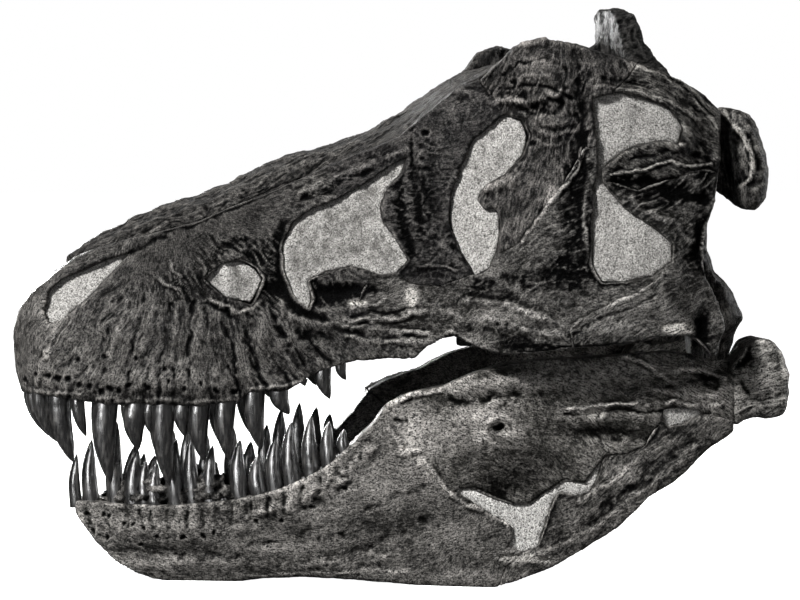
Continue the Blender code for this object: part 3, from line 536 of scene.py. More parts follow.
jawLines = [
    # surangular
    ([(893, 318), (905, 328), (922, 330), (938, 320), (944, 300), (934, 284)], 5, 3, 0.5),
    ([(868, 330), (890, 350), (922, 356), (956, 342), (974, 312)], 5, 2, 0.5),
    ([(856, 300), (858, 326), (872, 352), (900, 372)], 6, -2, -0.4),
    ([(1190, 408), (1230, 420), (1290, 416), (1325, 400)], 5, 4, 0.8),
    ([(1215, 385), (1262, 392), (1310, 384)], 7, -4, -0.7),
    ([(1180, 378), (1240, 370), (1310, 366)], 5, 3, 0.7),
    ([(702, 343), (733, 357), (759, 365), (801, 373)], 4, 5, 1.3),
    ([(720, 320), (743, 317), (748, 287), (735, 256)], 4, -4, -1.6),
    ([(698, 307), (720, 286), (731, 250), (765, 257)], 5, 4, 0.6),
    ([(823, 366), (893, 392), (984, 404), (1093, 406), (1166, 402)], 12, 4, 0.3),
    ([(783, 330), (860, 352), (960, 366), (1040, 368)], 14, -3, -0.15),
    ([(906, 335), (926, 354), (951, 377), (977, 389)], 9, -4, -0.5),
    ([(893, 322), (888, 298), (899, 276), (922, 268)], 7, 3, 0.9),
    ([(1040, 345), (1102, 351), (1170, 354), (1240, 356), (1317, 352)], 4, 4, 1.0),
    ([(1030, 334), (1111, 339), (1190, 341), (1290, 340)], 3.5, -4, -1.5),
    ([(1115, 455), (1166, 432), (1217, 401), (1266, 371), (1305, 365)], 4, 4, 1.3),
    # dentary
    ([(428, 121), (541, 161), (626, 220), (691, 278)], 12, 4, 0.25),
    ([(371, 51), (419, 53)], 10, -4, -0.5), ([(485, 114), (523, 130)], 9, -4, -0.6),
    ([(551, 146), (575, 158)], 8, -4, -0.7), ([(613, 181), (635, 197)], 8, -4, -0.8),
    ([(583, 85), (620, 97)], 8, -4, -0.6), ([(598, 54), (654, 67), (700, 87)], 11, -4, -0.6),
    ([(765, 127), (796, 116)], 7, -4, -0.8), ([(447, 73), (522, 84), (598, 123)], 7, -4, -0.8),
    ([(300, 60), (400, 34), (560, 34), (700, 50)], 14, 3, 0.15),
    ([(640, 140), (720, 170), (770, 190)], 6, -3, -0.7),
    ([(774, 242), (814, 185), (857, 158), (930, 122)], 4, 4, 0.8),
    ([(449, 12), (509, 18), (631, 21)], 2, 1, 1.1),
    ([(631, 25), (681, 24), (746, 24)], 5, 1, 1.0),
    # angular and articular
    ([(966, 56), (1094, 125), (1185, 202), (1278, 277)], 8, 3, 0.25),
    ([(1021, 96), (1112, 150), (1194, 222), (1268, 290)], 13, -4, -0.5),
    ([(1060, 170), (1110, 200), (1165, 250)], 7, 3, 0.5),
    ([(1090, 150), (1150, 195), (1200, 255)], 7, -3, -0.5),
    ([(1429, 450), (1436, 407), (1430, 360)], 5, 3, 1.1),
    ([(1349, 425), (1354, 395), (1366, 372)], 6, -6, -1.8),
]
jawSwellings = [
    ((764, 262), (52, 62), 9, 0.3), ((672, 190), (90, 60), 7, 0.2),
    ((862, 300), (60, 60), 10, 0.34), ((560, 185), (100, 26), 4, 0.15),
    ((960, 388), (150, 16), 7, 0.22), ((300, 112), (150, 14), 3, 0.18),
    ((300, 62), (120, 16), -6, -0.3), ((250, 34), (110, 16), 5, 0.12),
    ((480, 64), (110, 24), 6, 0.12), ((720, 110), (70, 24), -5, -0.3),
    ((560, 132), (50, 22), 5, 0.12), ((830, 100), (60, 40), 6, 0.2),
    ((1130, 300), (90, 20), -8, -0.4), ((1190, 150), (60, 30), 4, 0.15),
    ((1400, 400), (26, 50), 5, 0.25), ((888, 332), (34, 20), 5, 0.4),
    ((950, 292), (16, 26), 4, 0.3), ((880, 285), (14, 24), 4, 0.3),
    ((966, 227), (90, 44), -7, -0.75), ((911, 188), (50, 28), -5, -0.7),
    ((712, 347), (18, 14), 5, 0.8), ((831, 356), (24, 9), -5, -0.6),
    ((200, 60), (70, 40), 4, 0), ((1137, 218), (30, 24), 3, 0.5),
    ((1362, 439), (16, 20), -8, -1.8), ((990, 130), (30, 40), -4, -0.6),
    ((860, 20), (100, 14), 2, 0.2), ((760, 300), (40, 40), 3, 0.25),
    ((1322, 372), (50, 34), 3, 0.4), ((1298, 402), (30, 15), -5, -1.0),
    ((1170, 420), (90, 14), 2, 0.25), ((1060, 300), (80, 26), -4, -0.35),
]
jawHoles = [
    (138, 128, 5, 5), (172, 125, 4, 4), (182, 124, 4, 4), (210, 109, 4, 4), (229, 110, 4, 4),
    (248, 102, 4, 4), (271, 89, 4, 4), (322, 86, 5, 4), (360, 91, 5, 4), (381, 101, 4, 4),
    (457, 117, 4, 4), (509, 122, 4, 4), (564, 150, 4, 4), (624, 187, 4, 4), (912, 307, 8, 8),
    (150, 95, 4, 4), (176, 86, 4, 4), (240, 70, 4, 4),
]
jawPatches = [((1084, 336), (17, 11)), ((957, 58), (50, 7)), ((924, 298), (8, 6))]
drawings = {"cheek": (cheekLines, cheekSwellings, cheekHoles, cheekPatches),
            "jaw": (jawLines, jawSwellings, jawHoles, jawPatches)}


# How far each place is from a centre (s, z), where 1 is the edge of the ellipse, squared
def awayFrom(s, z, centre, size):
    return ((s - centre[0]) / size[0]) ** 2 + ((z - centre[1]) / size[1]) ** 2


# Little relief within each ellipse (centre, reach), all of it outside
def calmness(places, ellipses):
    least = 0.16
    calm = np.ones(len(places))
    for centre, size in ellipses:
        away = awayFrom(places[:, 0], places[:, 2], centre, size)
        calm = np.minimum(calm, least + (1 - least) / (1 + np.exp((1 - away) * 4)))
    return calm


def lineReach(s, z, path):
    best = np.full(len(s), 1e9)
    for (s0, z0), (s1, z1) in zip(path, path[1:]):
        ds, dz = s1 - s0, z1 - z0
        share = (((s - s0) * ds + (z - z0) * dz) / (ds * ds + dz * dz)).clip(0, 1)
        best = np.minimum(best, np.hypot(s - s0 - share * ds, z - z0 - share * dz))
    return best


# How the drawing goes onto the bone: how far its lines sway and fray in mm, how much of a
# groove's depth is cut, how strongly pale lines show painted highlight and dark lines painted
# shade, how much painted shade lies in a nerve hole, and how deep a repair lies in mm.
drawn = {"sway": 4, "swaySize": 42, "fray": 2.4, "fraySize": 15, "grooveDepth": 0.6,
         "paleLine": 0.36, "darkLine": 0.3, "darkHole": 1.6, "repairDepth": 4}


def drawnRelief(places, lines, swellings, holes, patches):
    s, z = (places[:, axis] + drawn["sway"] * lumps(places, drawn["swaySize"], swaySeed)
            + drawn["fray"] * roughness(places, drawn["fraySize"], fraySeed, 2, 0.6)
            for axis, swaySeed, fraySeed in ((0, 61, 63), (2, 62, 67)))
    # lines fade and swell along their way
    broken = (0.72 + 0.75 * lumps(places, 24, 65) + 0.35 * lumps(places, 9, 66)).clip(0, 1.5)
    height, tone, patch = np.zeros(len(s)), np.zeros(len(s)), np.zeros(len(s))
    for path, width, rise, shade in lines:
        reach = 3 * width
        corners = np.array(path)
        close = ((s > corners[:, 0].min() - reach) & (s < corners[:, 0].max() + reach)
                 & (z > corners[:, 1].min() - reach) & (z < corners[:, 1].max() + reach))
        if close.any():
            fall = np.exp(-(lineReach(s[close], z[close], path) / width) ** 2)
            fall = fall * (broken[close] if abs(shade) < 2 else 1)
            height[close] += (rise if rise > 0 else drawn["grooveDepth"] * rise) * fall
            # pale lines lay painted highlight, dark lines painted shade
            tone[close] += drawn["paleLine" if shade > 0 else "darkLine"] * shade * fall
    for centre, size, rise, shade in swellings:
        fall = np.exp(-awayFrom(s, z, centre, size))
        height += rise * fall
        tone += shade * fall
    for at, up, radius, depth in holes:
        fall = np.exp(-(((s - at) ** 2 + (z - up) ** 2) / radius ** 2) ** 1.5)
        height -= depth * fall
        tone -= drawn["darkHole"] * fall
    for centre, size in patches:
        fall = 1 / (1 + np.exp(((awayFrom(s, z, centre, size) - 1) * 9).clip(-30, 30)))
        height -= drawn["repairDepth"] * fall
        patch += fall
    return height, tone, patch


# Bones: finish, centre (s, z) of the fibres and whether they ring it, size and height of the
# wrinkles and height of the general roughness in mm, and which drawing lies on the bone.
# Some have more: ellipses where the bone is calm, their own mesh spacing (voxel), how many
# rounds the solid's corners are softened (soften), and how far the bone swells after it (swell).
boneKinds = {
    "premaxilla": {
        "look": "maxillaBone", "fibres": ((230, 430), True), "wrinkle": (15, 1.6),
        "rough": 1.6, "drawing": "cheek"},
    "maxilla": {
        "look": "maxillaBone", "fibres": ((300, 760), False), "wrinkle": (17, 3.0),
        "rough": 1.8, "drawing": "cheek",
        "calm": [((250, 650), (130, 62)), ((400, 700), (150, 40))]},
    "lacrimal": {
        "look": "lacrimalBone", "fibres": ((-900, 600), False), "wrinkle": (13, 2.2),
        "rough": 1.6, "drawing": "cheek"},
    "jugal": {
        "look": "jugalBone", "fibres": ((330, 470), False), "wrinkle": (17, 2.2),
        "rough": 1.7, "drawing": "cheek"},
    "postorbital": {
        "look": "postorbitalBone", "fibres": ((1080, 1250), False), "wrinkle": (16, 2.8),
        "rough": 2.2, "drawing": "cheek"},
    "squamosal": {
        "look": "squamosalBone", "fibres": ((1060, 560), True), "wrinkle": (15, 2.4),
        "rough": 1.8, "drawing": "cheek"},
    "quadratojugal": {
        "look": "jugalBone", "fibres": ((-500, -300), False), "wrinkle": (17, 2.4),
        "rough": 1.8, "drawing": "cheek"},
    "quadrate": {
        "look": "squamosalBone", "fibres": ((1250, 1600), False), "wrinkle": (20, 2.6),
        "rough": 2.2, "drawing": "cheek", "soften": 40, "swell": 3},
    "prefrontal": {
        "look": "roofBone", "fibres": ((-1000, 200), False), "wrinkle": (14, 2.0),
        "rough": 1.8, "drawing": "cheek"},
    "nasals": {
        "look": "roofBone", "fibres": ((-1500, 100), False), "wrinkle": (18, 3.4),
        "rough": 3.0, "drawing": "cheek"},
    "frontals": {
        "look": "roofBone", "fibres": ((-1000, 500), False), "wrinkle": (16, 2.6),
        "rough": 3.0, "drawing": "", "voxel": 3.2},
    "parietals": {
        "look": "crestBone", "fibres": ((1150, 400), False), "wrinkle": (16, 3.2),
        "rough": 3.4, "drawing": "", "voxel": 3.4, "soften": 20, "swell": 2.5},
    "braincase": {
        "look": "squamosalBone", "fibres": ((1300, 1700), False), "wrinkle": (18, 3.0),
        "rough": 2.2, "drawing": "cheek", "voxel": 3.8, "soften": 24, "swell": 3},
    "dentary": {
        "look": "dentaryBone", "fibres": ((420, 1500), True), "wrinkle": (18, 1.0),
        "rough": 1.1, "drawing": "jaw"},
    "surangular": {
        "look": "surangularBone", "fibres": ((700, -700), True), "wrinkle": (20, 0.7),
        "rough": 0.9, "drawing": "jaw"},
    "angular": {
        "look": "angularBone", "fibres": ((300, -500), False), "wrinkle": (17, 1.8),
        "rough": 1.6, "drawing": "jaw"},
    "articular": {
        "look": "articularBone", "fibres": ((700, 200), False), "wrinkle": (20, 2.6),
        "rough": 2.2, "drawing": "jaw", "soften": 60, "swell": 6},
}
# The thin bones inside: centre of the fibres, size and height of the wrinkles
innerBones = {
    "palatine": ((-900, 400), (18, 1.2)),
    "pterygoid": ((-900, 400), (18, 1.2)),
    "ectopterygoid": ((-900, 400), (18, 1.4)),
    "vomer": ((-900, 400), (16, 1.0)),
    "splenial": ((-900, 0), (20, 1.0)),
    "prearticular": ((-500, -500), (20, 1.2)),
}
for boneName, (centre, wrinkle) in innerBones.items():
    boneKinds[boneName] = {"look": "innerBone", "fibres": (centre, False), "wrinkle": wrinkle,
                           "rough": wrinkle[1], "drawing": ""}
voxels = {"left": 2.8, "right": 3.6, "rough": 5, "plaster": 5, "core": 7}   # mesh spacing in mm
# The ground that every bone has: how far fibres draw the wrinkles out, the shares of coarse and
# fine wrinkles and the fine ones' size against the coarse, the sizes in mm of roughness and of
# long waves, the waves' height, how far the bone swells to close its sutures, and how much
# painted highlight and painted shade it takes for each mm that a place stands above or lies
# below what is round it.
ground = {"fibreRatio": 5, "coarse": 0.75, "fine": 0.5, "fineSize": 0.45, "roughSize": 34,
          "waveSize": 85, "wave": 2.4, "swell": 1.8, "pale": 0.22, "dark": 0.75}

# The tooth-bearing edges, where the crowns leave the bone: places (s, z)
upperEdge = [(-30, 362), (61, 361), (170, 345), (352, 343), (425, 350), (445, 369), (515, 371),
             (579, 409), (652, 432)]
lowerEdge = [(90, 150), (166, 150), (216, 147), (313, 147), (409, 157), (457, 167), (506, 182),
             (553, 203), (601, 231), (650, 277)]


# Each tooth: s of its middle, width along the jaw, crown length and how far its tip lies behind
# its middle, in mm. The front ones have their distance from the midline after s.
upperTeeth = {
    "front": [(28, 14, 30, 92, 56), (32, 35, 33, 97, 54), (39, 55, 36, 100, 50),
              (50, 74, 36, 102, 42)],
    "side": [(86, 46, 130, 26), (121, 27, 74, 16), (174, 49, 154, 9), (233, 47, 88, 2),
             (259, 28, 58, 2), (284, 46, 158, 11), (320, 32, 62, 4), (352, 43, 108, 8),
             (401, 42, 112, 8), (456, 42, 114, 13), (502, 38, 50, 20), (549, 16, 12, 2),
             (585, 32, 58, 13), (618, 22, 32, 10)],
}
lowerTeeth = [(116, 24, 86, 3), (146, 32, 112, 2), (194, 35, 146, 4), (228, 38, 104, 8),
              (249, 30, 84, 2), (268, 34, 78, 4), (309, 36, 126, 0), (342, 33, 130, -4),
              (374, 30, 108, 4), (397, 24, 48, -3), (430, 34, 112, 0), (466, 34, 76, -2),
              (497, 34, 100, 0), (530, 36, 116, -4), (566, 34, 110, -2), (598, 30, 82, 0),
              (626, 24, 42, 0)]
# Their shape: depth of the root and how far the tip curls back and the front bulges, as shares
# of the crown, how flat and how full the crown is, and its points round and along. A tip that
# lies further back than the lean in mm gets there by a bend.
toothForm = {"root": 0.16, "flatness": 0.74, "curve": 0.24, "belly": 0.09, "fullness": 2.3,
             "around": 24, "along": 32, "lean": 20}


def edgeHeight(s, edge):
    return np.interp(s, [place[0] for place in edge], [place[1] for place in edge])


# The bone swells over each root and sinks between two roots. For each bone: its teeth, its
# edge, where the roots point to (s, z), how far up the swellings reach, as a share of the way
# there, and how much painted shade lies between them.
socketWalls = {
    "maxilla": (upperTeeth["side"], upperEdge, (300, 760), 0.2, -0.7),
    "premaxilla": (upperTeeth["side"][:1], upperEdge, (120, 760), 0.16, -0.7),
    "dentary": (lowerTeeth, lowerEdge, (420, -900), 0.05, -0.5),
}
# A root's swelling: half-width as a share of the tooth's width, height in mm and how much painted
# highlight it carries.
# The furrow between: where it starts and how far it runs, against the swelling, its half-width
# and height in mm.
rootForm = {"width": 0.34, "height": 2.6, "pale": 0.16,
            "gapStart": 0.012, "gapReach": 0.8, "gapWidth": 4.5, "gapHeight": -3.5}


def socketLines(base):
    teeth, edge, aim, share, shade = socketWalls[base]
    lines = []

    def towards(s, start, end):
        foot = (s, float(edgeHeight(s, edge)))
        return [tuple(at + part * (to - at) for at, to in zip(foot, aim))
                for part in (start, (start + end) / 2, end)]

    for at, tooth in enumerate(teeth):
        lines.append((towards(tooth[0], 0.0, share), tooth[1] * rootForm["width"],
                      rootForm["height"], rootForm["pale"]))
        if at + 1 < len(teeth):
            between = (tooth[0] + teeth[at + 1][0]) / 2
            lines.append((towards(between, rootForm["gapStart"], share * rootForm["gapReach"]),
                          rootForm["gapWidth"], rootForm["gapHeight"], shade))
    return lines


# A block that fills the space beyond a tooth-bearing edge, to take the plain crowns off
def beyondEdge(edge, far, inset):
    shape = bmesh.new()
    outline = [(s, z + inset) for s, z in edge] + [(edge[-1][0], far), (edge[0][0], far)]
    rims = [[shape.verts.new(((s - middle) / 1000, y, z / 1000)) for s, z in outline]
            for y in (-0.6, 0.6)]
    for at in range(len(outline)):
        nextOne = (at + 1) % len(outline)
        shape.faces.new((rims[0][at], rims[0][nextOne], rims[1][nextOne], rims[1][at]))
    shape.faces.new(rims[0][::-1])
    shape.faces.new(rims[1])
    bmesh.ops.triangulate(shape, faces=shape.faces)
    bmesh.ops.recalc_face_normals(shape, faces=shape.faces)
    return makeObject("beyondEdge", meshFrom(shape, "beyondEdge"))


# A node's solid as an even mesh (voxel in mm) with its corners softened
def denseCopy(nodeName, voxel, rounds):
    shape = bmesh.new()
    shape.from_mesh(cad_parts[nodeName].data)
    bmesh.ops.remove_doubles(shape, verts=shape.verts, dist=1e-6)
    item = makeObject(nodeName + "_bone", meshFrom(shape, nodeName))
    block = None
    if nodeName.startswith(("maxilla", "premaxilla")):
        block = beyondEdge(upperEdge, 120, 1.5)
    if nodeName.startswith("dentary"):
        block = beyondEdge(lowerEdge, 420, -1.5)
    if block:
        cut = item.modifiers.new("crowns", "BOOLEAN")
        cut.operation, cut.solver, cut.object = "DIFFERENCE", "EXACT", block
    remesh = item.modifiers.new("surface", "REMESH")
    remesh.mode, remesh.voxel_size = "VOXEL", voxel / 1000
    smooth = item.modifiers.new("softening", "SMOOTH")
    smooth.iterations, smooth.factor = rounds, 0.5
    settle(item)
    if block:
        discard(block)
    return item


# How far each place stands above the ground around it, in mm
def standing(points, normals, edges, rounds):
    return np.sum((points - blurred(points, edges, rounds)) * normals, axis=1) * 1000


# Cuts a bone's relief, and marks its painted highlights, its painted shade and where it is mended
def dressBone(nodeName, materials):
    base = baseOf(nodeName)
    kind = boneKinds[base]
    side = "right" if nodeName.endswith("_right") else "left"
    seed = {"left": 300, "right": 900}[side]
    voxel = kind.get("voxel", voxels[side])
    if base in innerBones:
        voxel = voxels["rough"]
    item = denseCopy(nodeName, voxel, kind.get("soften", 3))
    mesh = item.data
    points, normals, edges = readPoints(mesh), readNormals(mesh), readEdges(mesh)
    places = placesOf(points)
    size, high = kind["wrinkle"]
    fibres = fibrePlaces(places, *kind["fibres"], ground["fibreRatio"], seed)
    patchy = 0.75 + 0.5 * lumps(places, 60, seed + 30)   # wrinkled here, smoother there
    calm = calmness(places, kind["calm"]) if "calm" in kind else 1.0
    wrinkled = high * calm * patchy
    height = ground["coarse"] * wrinkled * (wrinkles(fibres, size, seed) - 0.4)
    height += ground["fine"] * wrinkled * (
        wrinkles(fibres, size * ground["fineSize"], seed + 20) - 0.4)
    height += kind["rough"] * (0.4 + 0.6 * calm) * roughness(
        places, ground["roughSize"], seed + 40, 5, 0.5)
    height += ground["wave"] * lumps(places, ground["waveSize"], 7)
    tone, patch = np.zeros(len(points)), np.zeros(len(points))
    if kind["drawing"]:
        lines, *others = drawings[kind["drawing"]]
        if base in socketWalls:
            lines = lines + socketLines(base)
        drawnHeight, tone, patch = drawnRelief(places, lines, *others)
        outward = (normals[:, 1] * np.sign(points[:, 1])).clip(0, 1)
        facing = (outward * 2.2 - 0.5).clip(0, 1)   # the drawing is for the outer side only
        height += drawnHeight * facing
        tone, patch = tone * facing, patch * facing
    swell = kind.get("swell", ground["swell"])
    writePoints(mesh, points + normals * (height + swell)[:, None] / 1000)
    lift = (height - blurred(height, edges, 5)) * 1.3 + (height - blurred(height, edges, 30)) * 0.3
    # painted highlight: paler where the relief stands above its surroundings and where the drawing
    # is pale
    worn = lift * ground["pale"] + tone.clip(0, 2.2)
    # painted shade: darker where the relief lies below its surroundings and where the drawing is
    # dark
    hollow = -lift * ground["dark"] - 0.12 - tone.clip(-1.6, 0)
    writeValues(mesh, "worn", worn.clip(-0.2, 2.2))
    writeValues(mesh, "hollow", hollow.clip(0, 1))
    writeValues(mesh, "patch", patch.clip(0, 1))
    writeValues(mesh, "fibres", fibres / 1000)
    mesh.materials.clear()
    mesh.materials.append(materials[kind["look"]])
    mesh.shade_smooth()
    finishPiece(item, nodeName)
    return item


def finishPiece(item, *nodeNames):
    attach(item, "root")
    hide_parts(*nodeNames)


# The fillings: which take the lighter copy of the plaster, painted light for faces turned from the
# lamps, how much painted shade the others get, height of their roughness and of the dabs in mm,
# and the ridge on the small filling of the maxilla: its place s at z, its lean, half-width and
# height in mm.
fillings = {"white": ("plaster_jaw", "plaster_jaw_window"),
            "dust": {"plaster_antorbital": 0.56, "plaster_maxillary": 0.36,
                     "plaster_naris": 0.2, "plaster_orbit": 0.2},
            "rough": 1.6, "dab": 0.7,
            "ridge": {"s": 404, "z": 580, "lean": 0.15, "width": 14, "height": 7}}


def dressPlaster(nodeName, materials):
    base, ridge = baseOf(nodeName), fillings["ridge"]
    voxel = voxels["core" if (nodeName == "snout_core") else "plaster"]
    item = denseCopy(nodeName, voxel, 4)
    mesh = item.data
    points, normals = readPoints(mesh), readNormals(mesh)
    places = placesOf(points)
    height = (fillings["rough"] * roughness(places, 34, 71, 3)
              + fillings["dab"] * lumps(places, 7, 75))
    if base == "plaster_maxillary":
        fold = places[:, 0] - ridge["s"] + ridge["lean"] * (places[:, 2] - ridge["z"])
        height += ridge["height"] * np.exp(-(fold / ridge["width"]) ** 2) - 3
    writePoints(mesh, points + normals * height[:, None] / 1000)
    points, normals = readPoints(mesh), readNormals(mesh)
    lift = standing(points, normals, readEdges(mesh), 14)
    # painted shade: darker where the filling lies below its surroundings, and darker by a set
    # amount in some fillings
    shade = -lift * 0.5 - 0.15 + fillings["dust"].get(base, 0)
    if base == "plaster_maxillary":
        shade += 0.4 / (1 + np.exp(((fold + 2) / 3).clip(-30, 30)))   # the front facet is darker
    writeValues(mesh, "hollow", shade.clip(0, 0.8))
    mesh.materials.clear()
    # the fillings of the jaw take the lighter copy: painted light
    mesh.materials.append(
        materials["whitePlaster" if base in fillings["white"] else "stippledPlaster"])
    mesh.shade_smooth()
    finishPiece(item, nodeName)


# Teeth

# A row of teeth: one point for each tooth carries its size and turn, and the same crown,
# a tapering swept curve, stands on all of them.
def toothTree(material):
    tree = bpy.data.node_groups.new("toothRow", "GeometryNodeTree")
    tree.interface.new_socket("Places", in_out="INPUT", socket_type="NodeSocketGeometry")
    for name, kind, value in (("Root", "NodeSocketFloat", toothForm["root"]),
                              ("Curve", "NodeSocketFloat", toothForm["curve"]),
                              ("Belly", "NodeSocketFloat", toothForm["belly"]),
                              ("Fullness", "NodeSocketFloat", toothForm["fullness"]),
                              ("Around", "NodeSocketInt", toothForm["around"]),
                              ("Along", "NodeSocketInt", toothForm["along"])):
        tree.interface.new_socket(name, in_out="INPUT", socket_type=kind).default_value = value
    tree.interface.new_socket("Teeth", in_out="OUTPUT", socket_type="NodeSocketGeometry")
    given = addNode(tree, "NodeGroupInput").outputs
    below = addNode(tree, "ShaderNodeMath", {0: given["Root"], 1: -1.0},
                    operation="MULTIPLY").outputs[0]
    foot = addNode(tree, "ShaderNodeCombineXYZ", {"Z": below}).outputs[0]
    spine = addNode(tree, "GeometryNodeCurvePrimitiveLine", {
        "Start": foot, "End": (0, 0, 1)}).outputs[0]
    spine = addNode(tree, "GeometryNodeResampleCurve", {
        "Curve": spine, "Count": given["Along"]}).outputs[0]
    rise = addNode(tree, "ShaderNodeSeparateXYZ", {
        0: addNode(tree, "GeometryNodeInputPosition").outputs[0]}).outputs["Z"]
    rise = addNode(tree, "ShaderNodeClamp", {"Value": rise}).outputs[0]
    # full at the root, then a long cone with a blunt tip
    taper = addNode(tree, "ShaderNodeMath", {0: rise, 1: given["Fullness"]},
                    operation="POWER").outputs[0]
    taper = addNode(tree, "ShaderNodeMath", {0: 1.0, 1: taper}, operation="SUBTRACT").outputs[0]
    taper = addNode(tree, "ShaderNodeMath", {0: taper, 1: 0.74}, operation="POWER").outputs[0]
    taper = addNode(tree, "ShaderNodeMath", {0: taper, 1: 0.02}, operation="MAXIMUM").outputs[0]
    spine = addNode(tree, "GeometryNodeStoreNamedAttribute", {
        "Geometry": spine, "Name": "along", "Value": rise},
        data_type="FLOAT", domain="POINT").outputs[0]
    ring = addNode(tree, "GeometryNodeCurvePrimitiveCircle", {
        "Resolution": given["Around"], "Radius": 0.5}).outputs[0]
    crown = addNode(tree, "GeometryNodeCurveToMesh", {
        "Curve": spine, "Profile Curve": ring, "Scale": taper, "Fill Caps": True}).outputs[0]
    # bent after the sweep, so that every ring stays level: back at the tip, forward at the belly
    back = addNode(tree, "ShaderNodeMath", {0: rise, 1: 2.0}, operation="POWER").outputs[0]
    back = addNode(tree, "ShaderNodeMath", {0: back, 1: given["Curve"]},
                   operation="MULTIPLY").outputs[0]
    bulge = addNode(tree, "ShaderNodeMath", {0: rise, 1: math.pi}, operation="MULTIPLY").outputs[0]
    bulge = addNode(tree, "ShaderNodeMath", {0: bulge}, operation="SINE").outputs[0]
    bulge = addNode(tree, "ShaderNodeMath", {0: bulge, 1: given["Belly"]},
                    operation="MULTIPLY").outputs[0]
    shift = addNode(tree, "ShaderNodeMath", {0: back, 1: bulge}, operation="SUBTRACT").outputs[0]
    shift = addNode(tree, "ShaderNodeCombineXYZ", {"X": shift}).outputs[0]
    crown = addNode(tree, "GeometryNodeSetPosition", {
        "Geometry": crown, "Offset": shift}).outputs[0]
    size = addNode(tree, "GeometryNodeInputNamedAttribute", {"Name": "size"},
                   data_type="FLOAT_VECTOR").outputs[0]
    turn = addNode(tree, "GeometryNodeInputNamedAttribute", {"Name": "turn"},
                   data_type="FLOAT_VECTOR").outputs[0]
    turn = addNode(tree, "FunctionNodeEulerToRotation", {0: turn}).outputs[0]
    row = addNode(tree, "GeometryNodeInstanceOnPoints", {
        "Points": given["Places"], "Instance": crown, "Rotation": turn, "Scale": size}).outputs[0]
    row = addNode(tree, "GeometryNodeRealizeInstances", {"Geometry": row}).outputs[0]
    # teeth that curve further back than the others
    bend = addNode(tree, "GeometryNodeInputNamedAttribute", {"Name": "bend"},
                   data_type="FLOAT").outputs[0]
    along = addNode(tree, "GeometryNodeInputNamedAttribute", {"Name": "along"},
                    data_type="FLOAT").outputs[0]
    along = addNode(tree, "ShaderNodeMath", {0: along, 1: 2.0}, operation="POWER").outputs[0]
    bend = addNode(tree, "ShaderNodeMath", {0: along, 1: bend}, operation="MULTIPLY").outputs[0]
    bend = addNode(tree, "ShaderNodeCombineXYZ", {"X": bend}).outputs[0]
    row = addNode(tree, "GeometryNodeSetPosition", {"Geometry": row, "Offset": bend}).outputs[0]
    row = addNode(tree, "GeometryNodeSetMaterial", {
        "Geometry": row, "Material": material}).outputs[0]
    addNode(tree, "NodeGroupOutput", {"Teeth": row})
    return tree


# Distance of the jaw's middle wall from the midline, read from the bone under the tooth
def wallMiddle(points, s, z):
    close = ((np.abs(points[:, 0] * 1000 + middle - s) < 9)
             & (np.abs(points[:, 2] * 1000 - z) < 12))
    if not close.any():
        return 20.0
    wide = np.abs(points[close, 1]) * 1000
    return (wide.min() + wide.max()) / 2


def makeTeeth(name, teeth, upward, side, tree, nodeNames):
    mesh = bpy.data.meshes.new(name)
    mesh.from_pydata([((s - middle) / 1000, side * y / 1000, z / 1000)
                      for s, y, z, *_ in teeth], [], [])
    sizes, turns, bends = [], [], []
    for s, y, z, width, length, tipShift, face in teeth:
        bend = max(0, tipShift - toothForm["lean"])
        lean = math.asin((tipShift - bend - toothForm["curve"] * width) / length)
        sizes.append((width / 1000, width * toothForm["flatness"] / 1000, length / 1000))
        turns.append((0 if upward else math.pi, lean if upward else -lean, face * side))
        bends.append(bend / 1000)
    for label, values in (("size", sizes), ("turn", turns), ("bend", bends)):
        writeValues(mesh, label, np.array(values))
    item = makeObject(name, mesh)
    row = item.modifiers.new("teeth", "NODES")
    row.node_group = tree
    for socket in tree.interface.items_tree:
        if socket.in_out == "INPUT" and socket.name.lower() in toothForm:
            row[socket.identifier] = toothForm[socket.name.lower()]
    made = settle(item)
    shape = bmesh.new()
    shape.from_mesh(made)
    bmesh.ops.remove_doubles(shape, verts=shape.verts, dist=1e-6)
    bmesh.ops.recalc_face_normals(shape, faces=shape.faces)
    shape.to_mesh(made)
    shape.free()
    points, normals = readPoints(made), readNormals(made)
    places = placesOf(points)
    height = 0.5 * lumps(places * [1, 1, 0.25], 9, 41)           # flutes along the crown
    height += 0.3 * lumps(places * [0.3, 0.3, 1], 8, 44)         # and bands across it
    writePoints(made, points + normals * height[:, None] / 1000)
    made.shade_smooth()
    finishPiece(item, *nodeNames)


# The upper front teeth leave the bone at one height (edge, in mm), and each turns its flat side
# a step further than the one before it, in radians.
frontTurn = {"edge": 362, "first": -1.2, "step": 0.25}


def makeRows(side, word, bones, tree):
    maxilla = readPoints(bones[f"maxilla_{word}"].data)
    dentary = readPoints(bones[f"dentary_{word}"].data)
    upper, lower = [], []
    for at, (s, y, width, length, shift) in enumerate(upperTeeth["front"]):
        turn = frontTurn["first"] + frontTurn["step"] * at
        upper.append((s, y, frontTurn["edge"], width, length, shift, turn))
    for s, width, length, shift in upperTeeth["side"]:
        z = float(edgeHeight(s, upperEdge))
        upper.append((s, wallMiddle(maxilla, s, z + 6), z, width, length, shift, -0.12))
    for s, width, length, shift in lowerTeeth:
        z = float(edgeHeight(s, lowerEdge))
        lower.append((s, wallMiddle(dentary, s, z - 6), z, width, length, shift, 0.1))
    makeTeeth(f"upper_teeth_{word}", upper, False, side, tree,
              (f"maxilla_{word}", f"premaxilla_{word}"))
    makeTeeth(f"lower_teeth_{word}", lower, True, side, tree, (f"dentary_{word}",))
    return dentary


# Sediment left between the lower roots: its reach along the jaw, its lumps' radius and spacing,
# how high it stands over the edge, its roughness and its mesh spacing, in mm.
rootMatrix = {"from": 172, "to": 430, "radius": 9, "spacing": 6, "height": 44, "rough": 3.5,
              "voxel": 2.6}


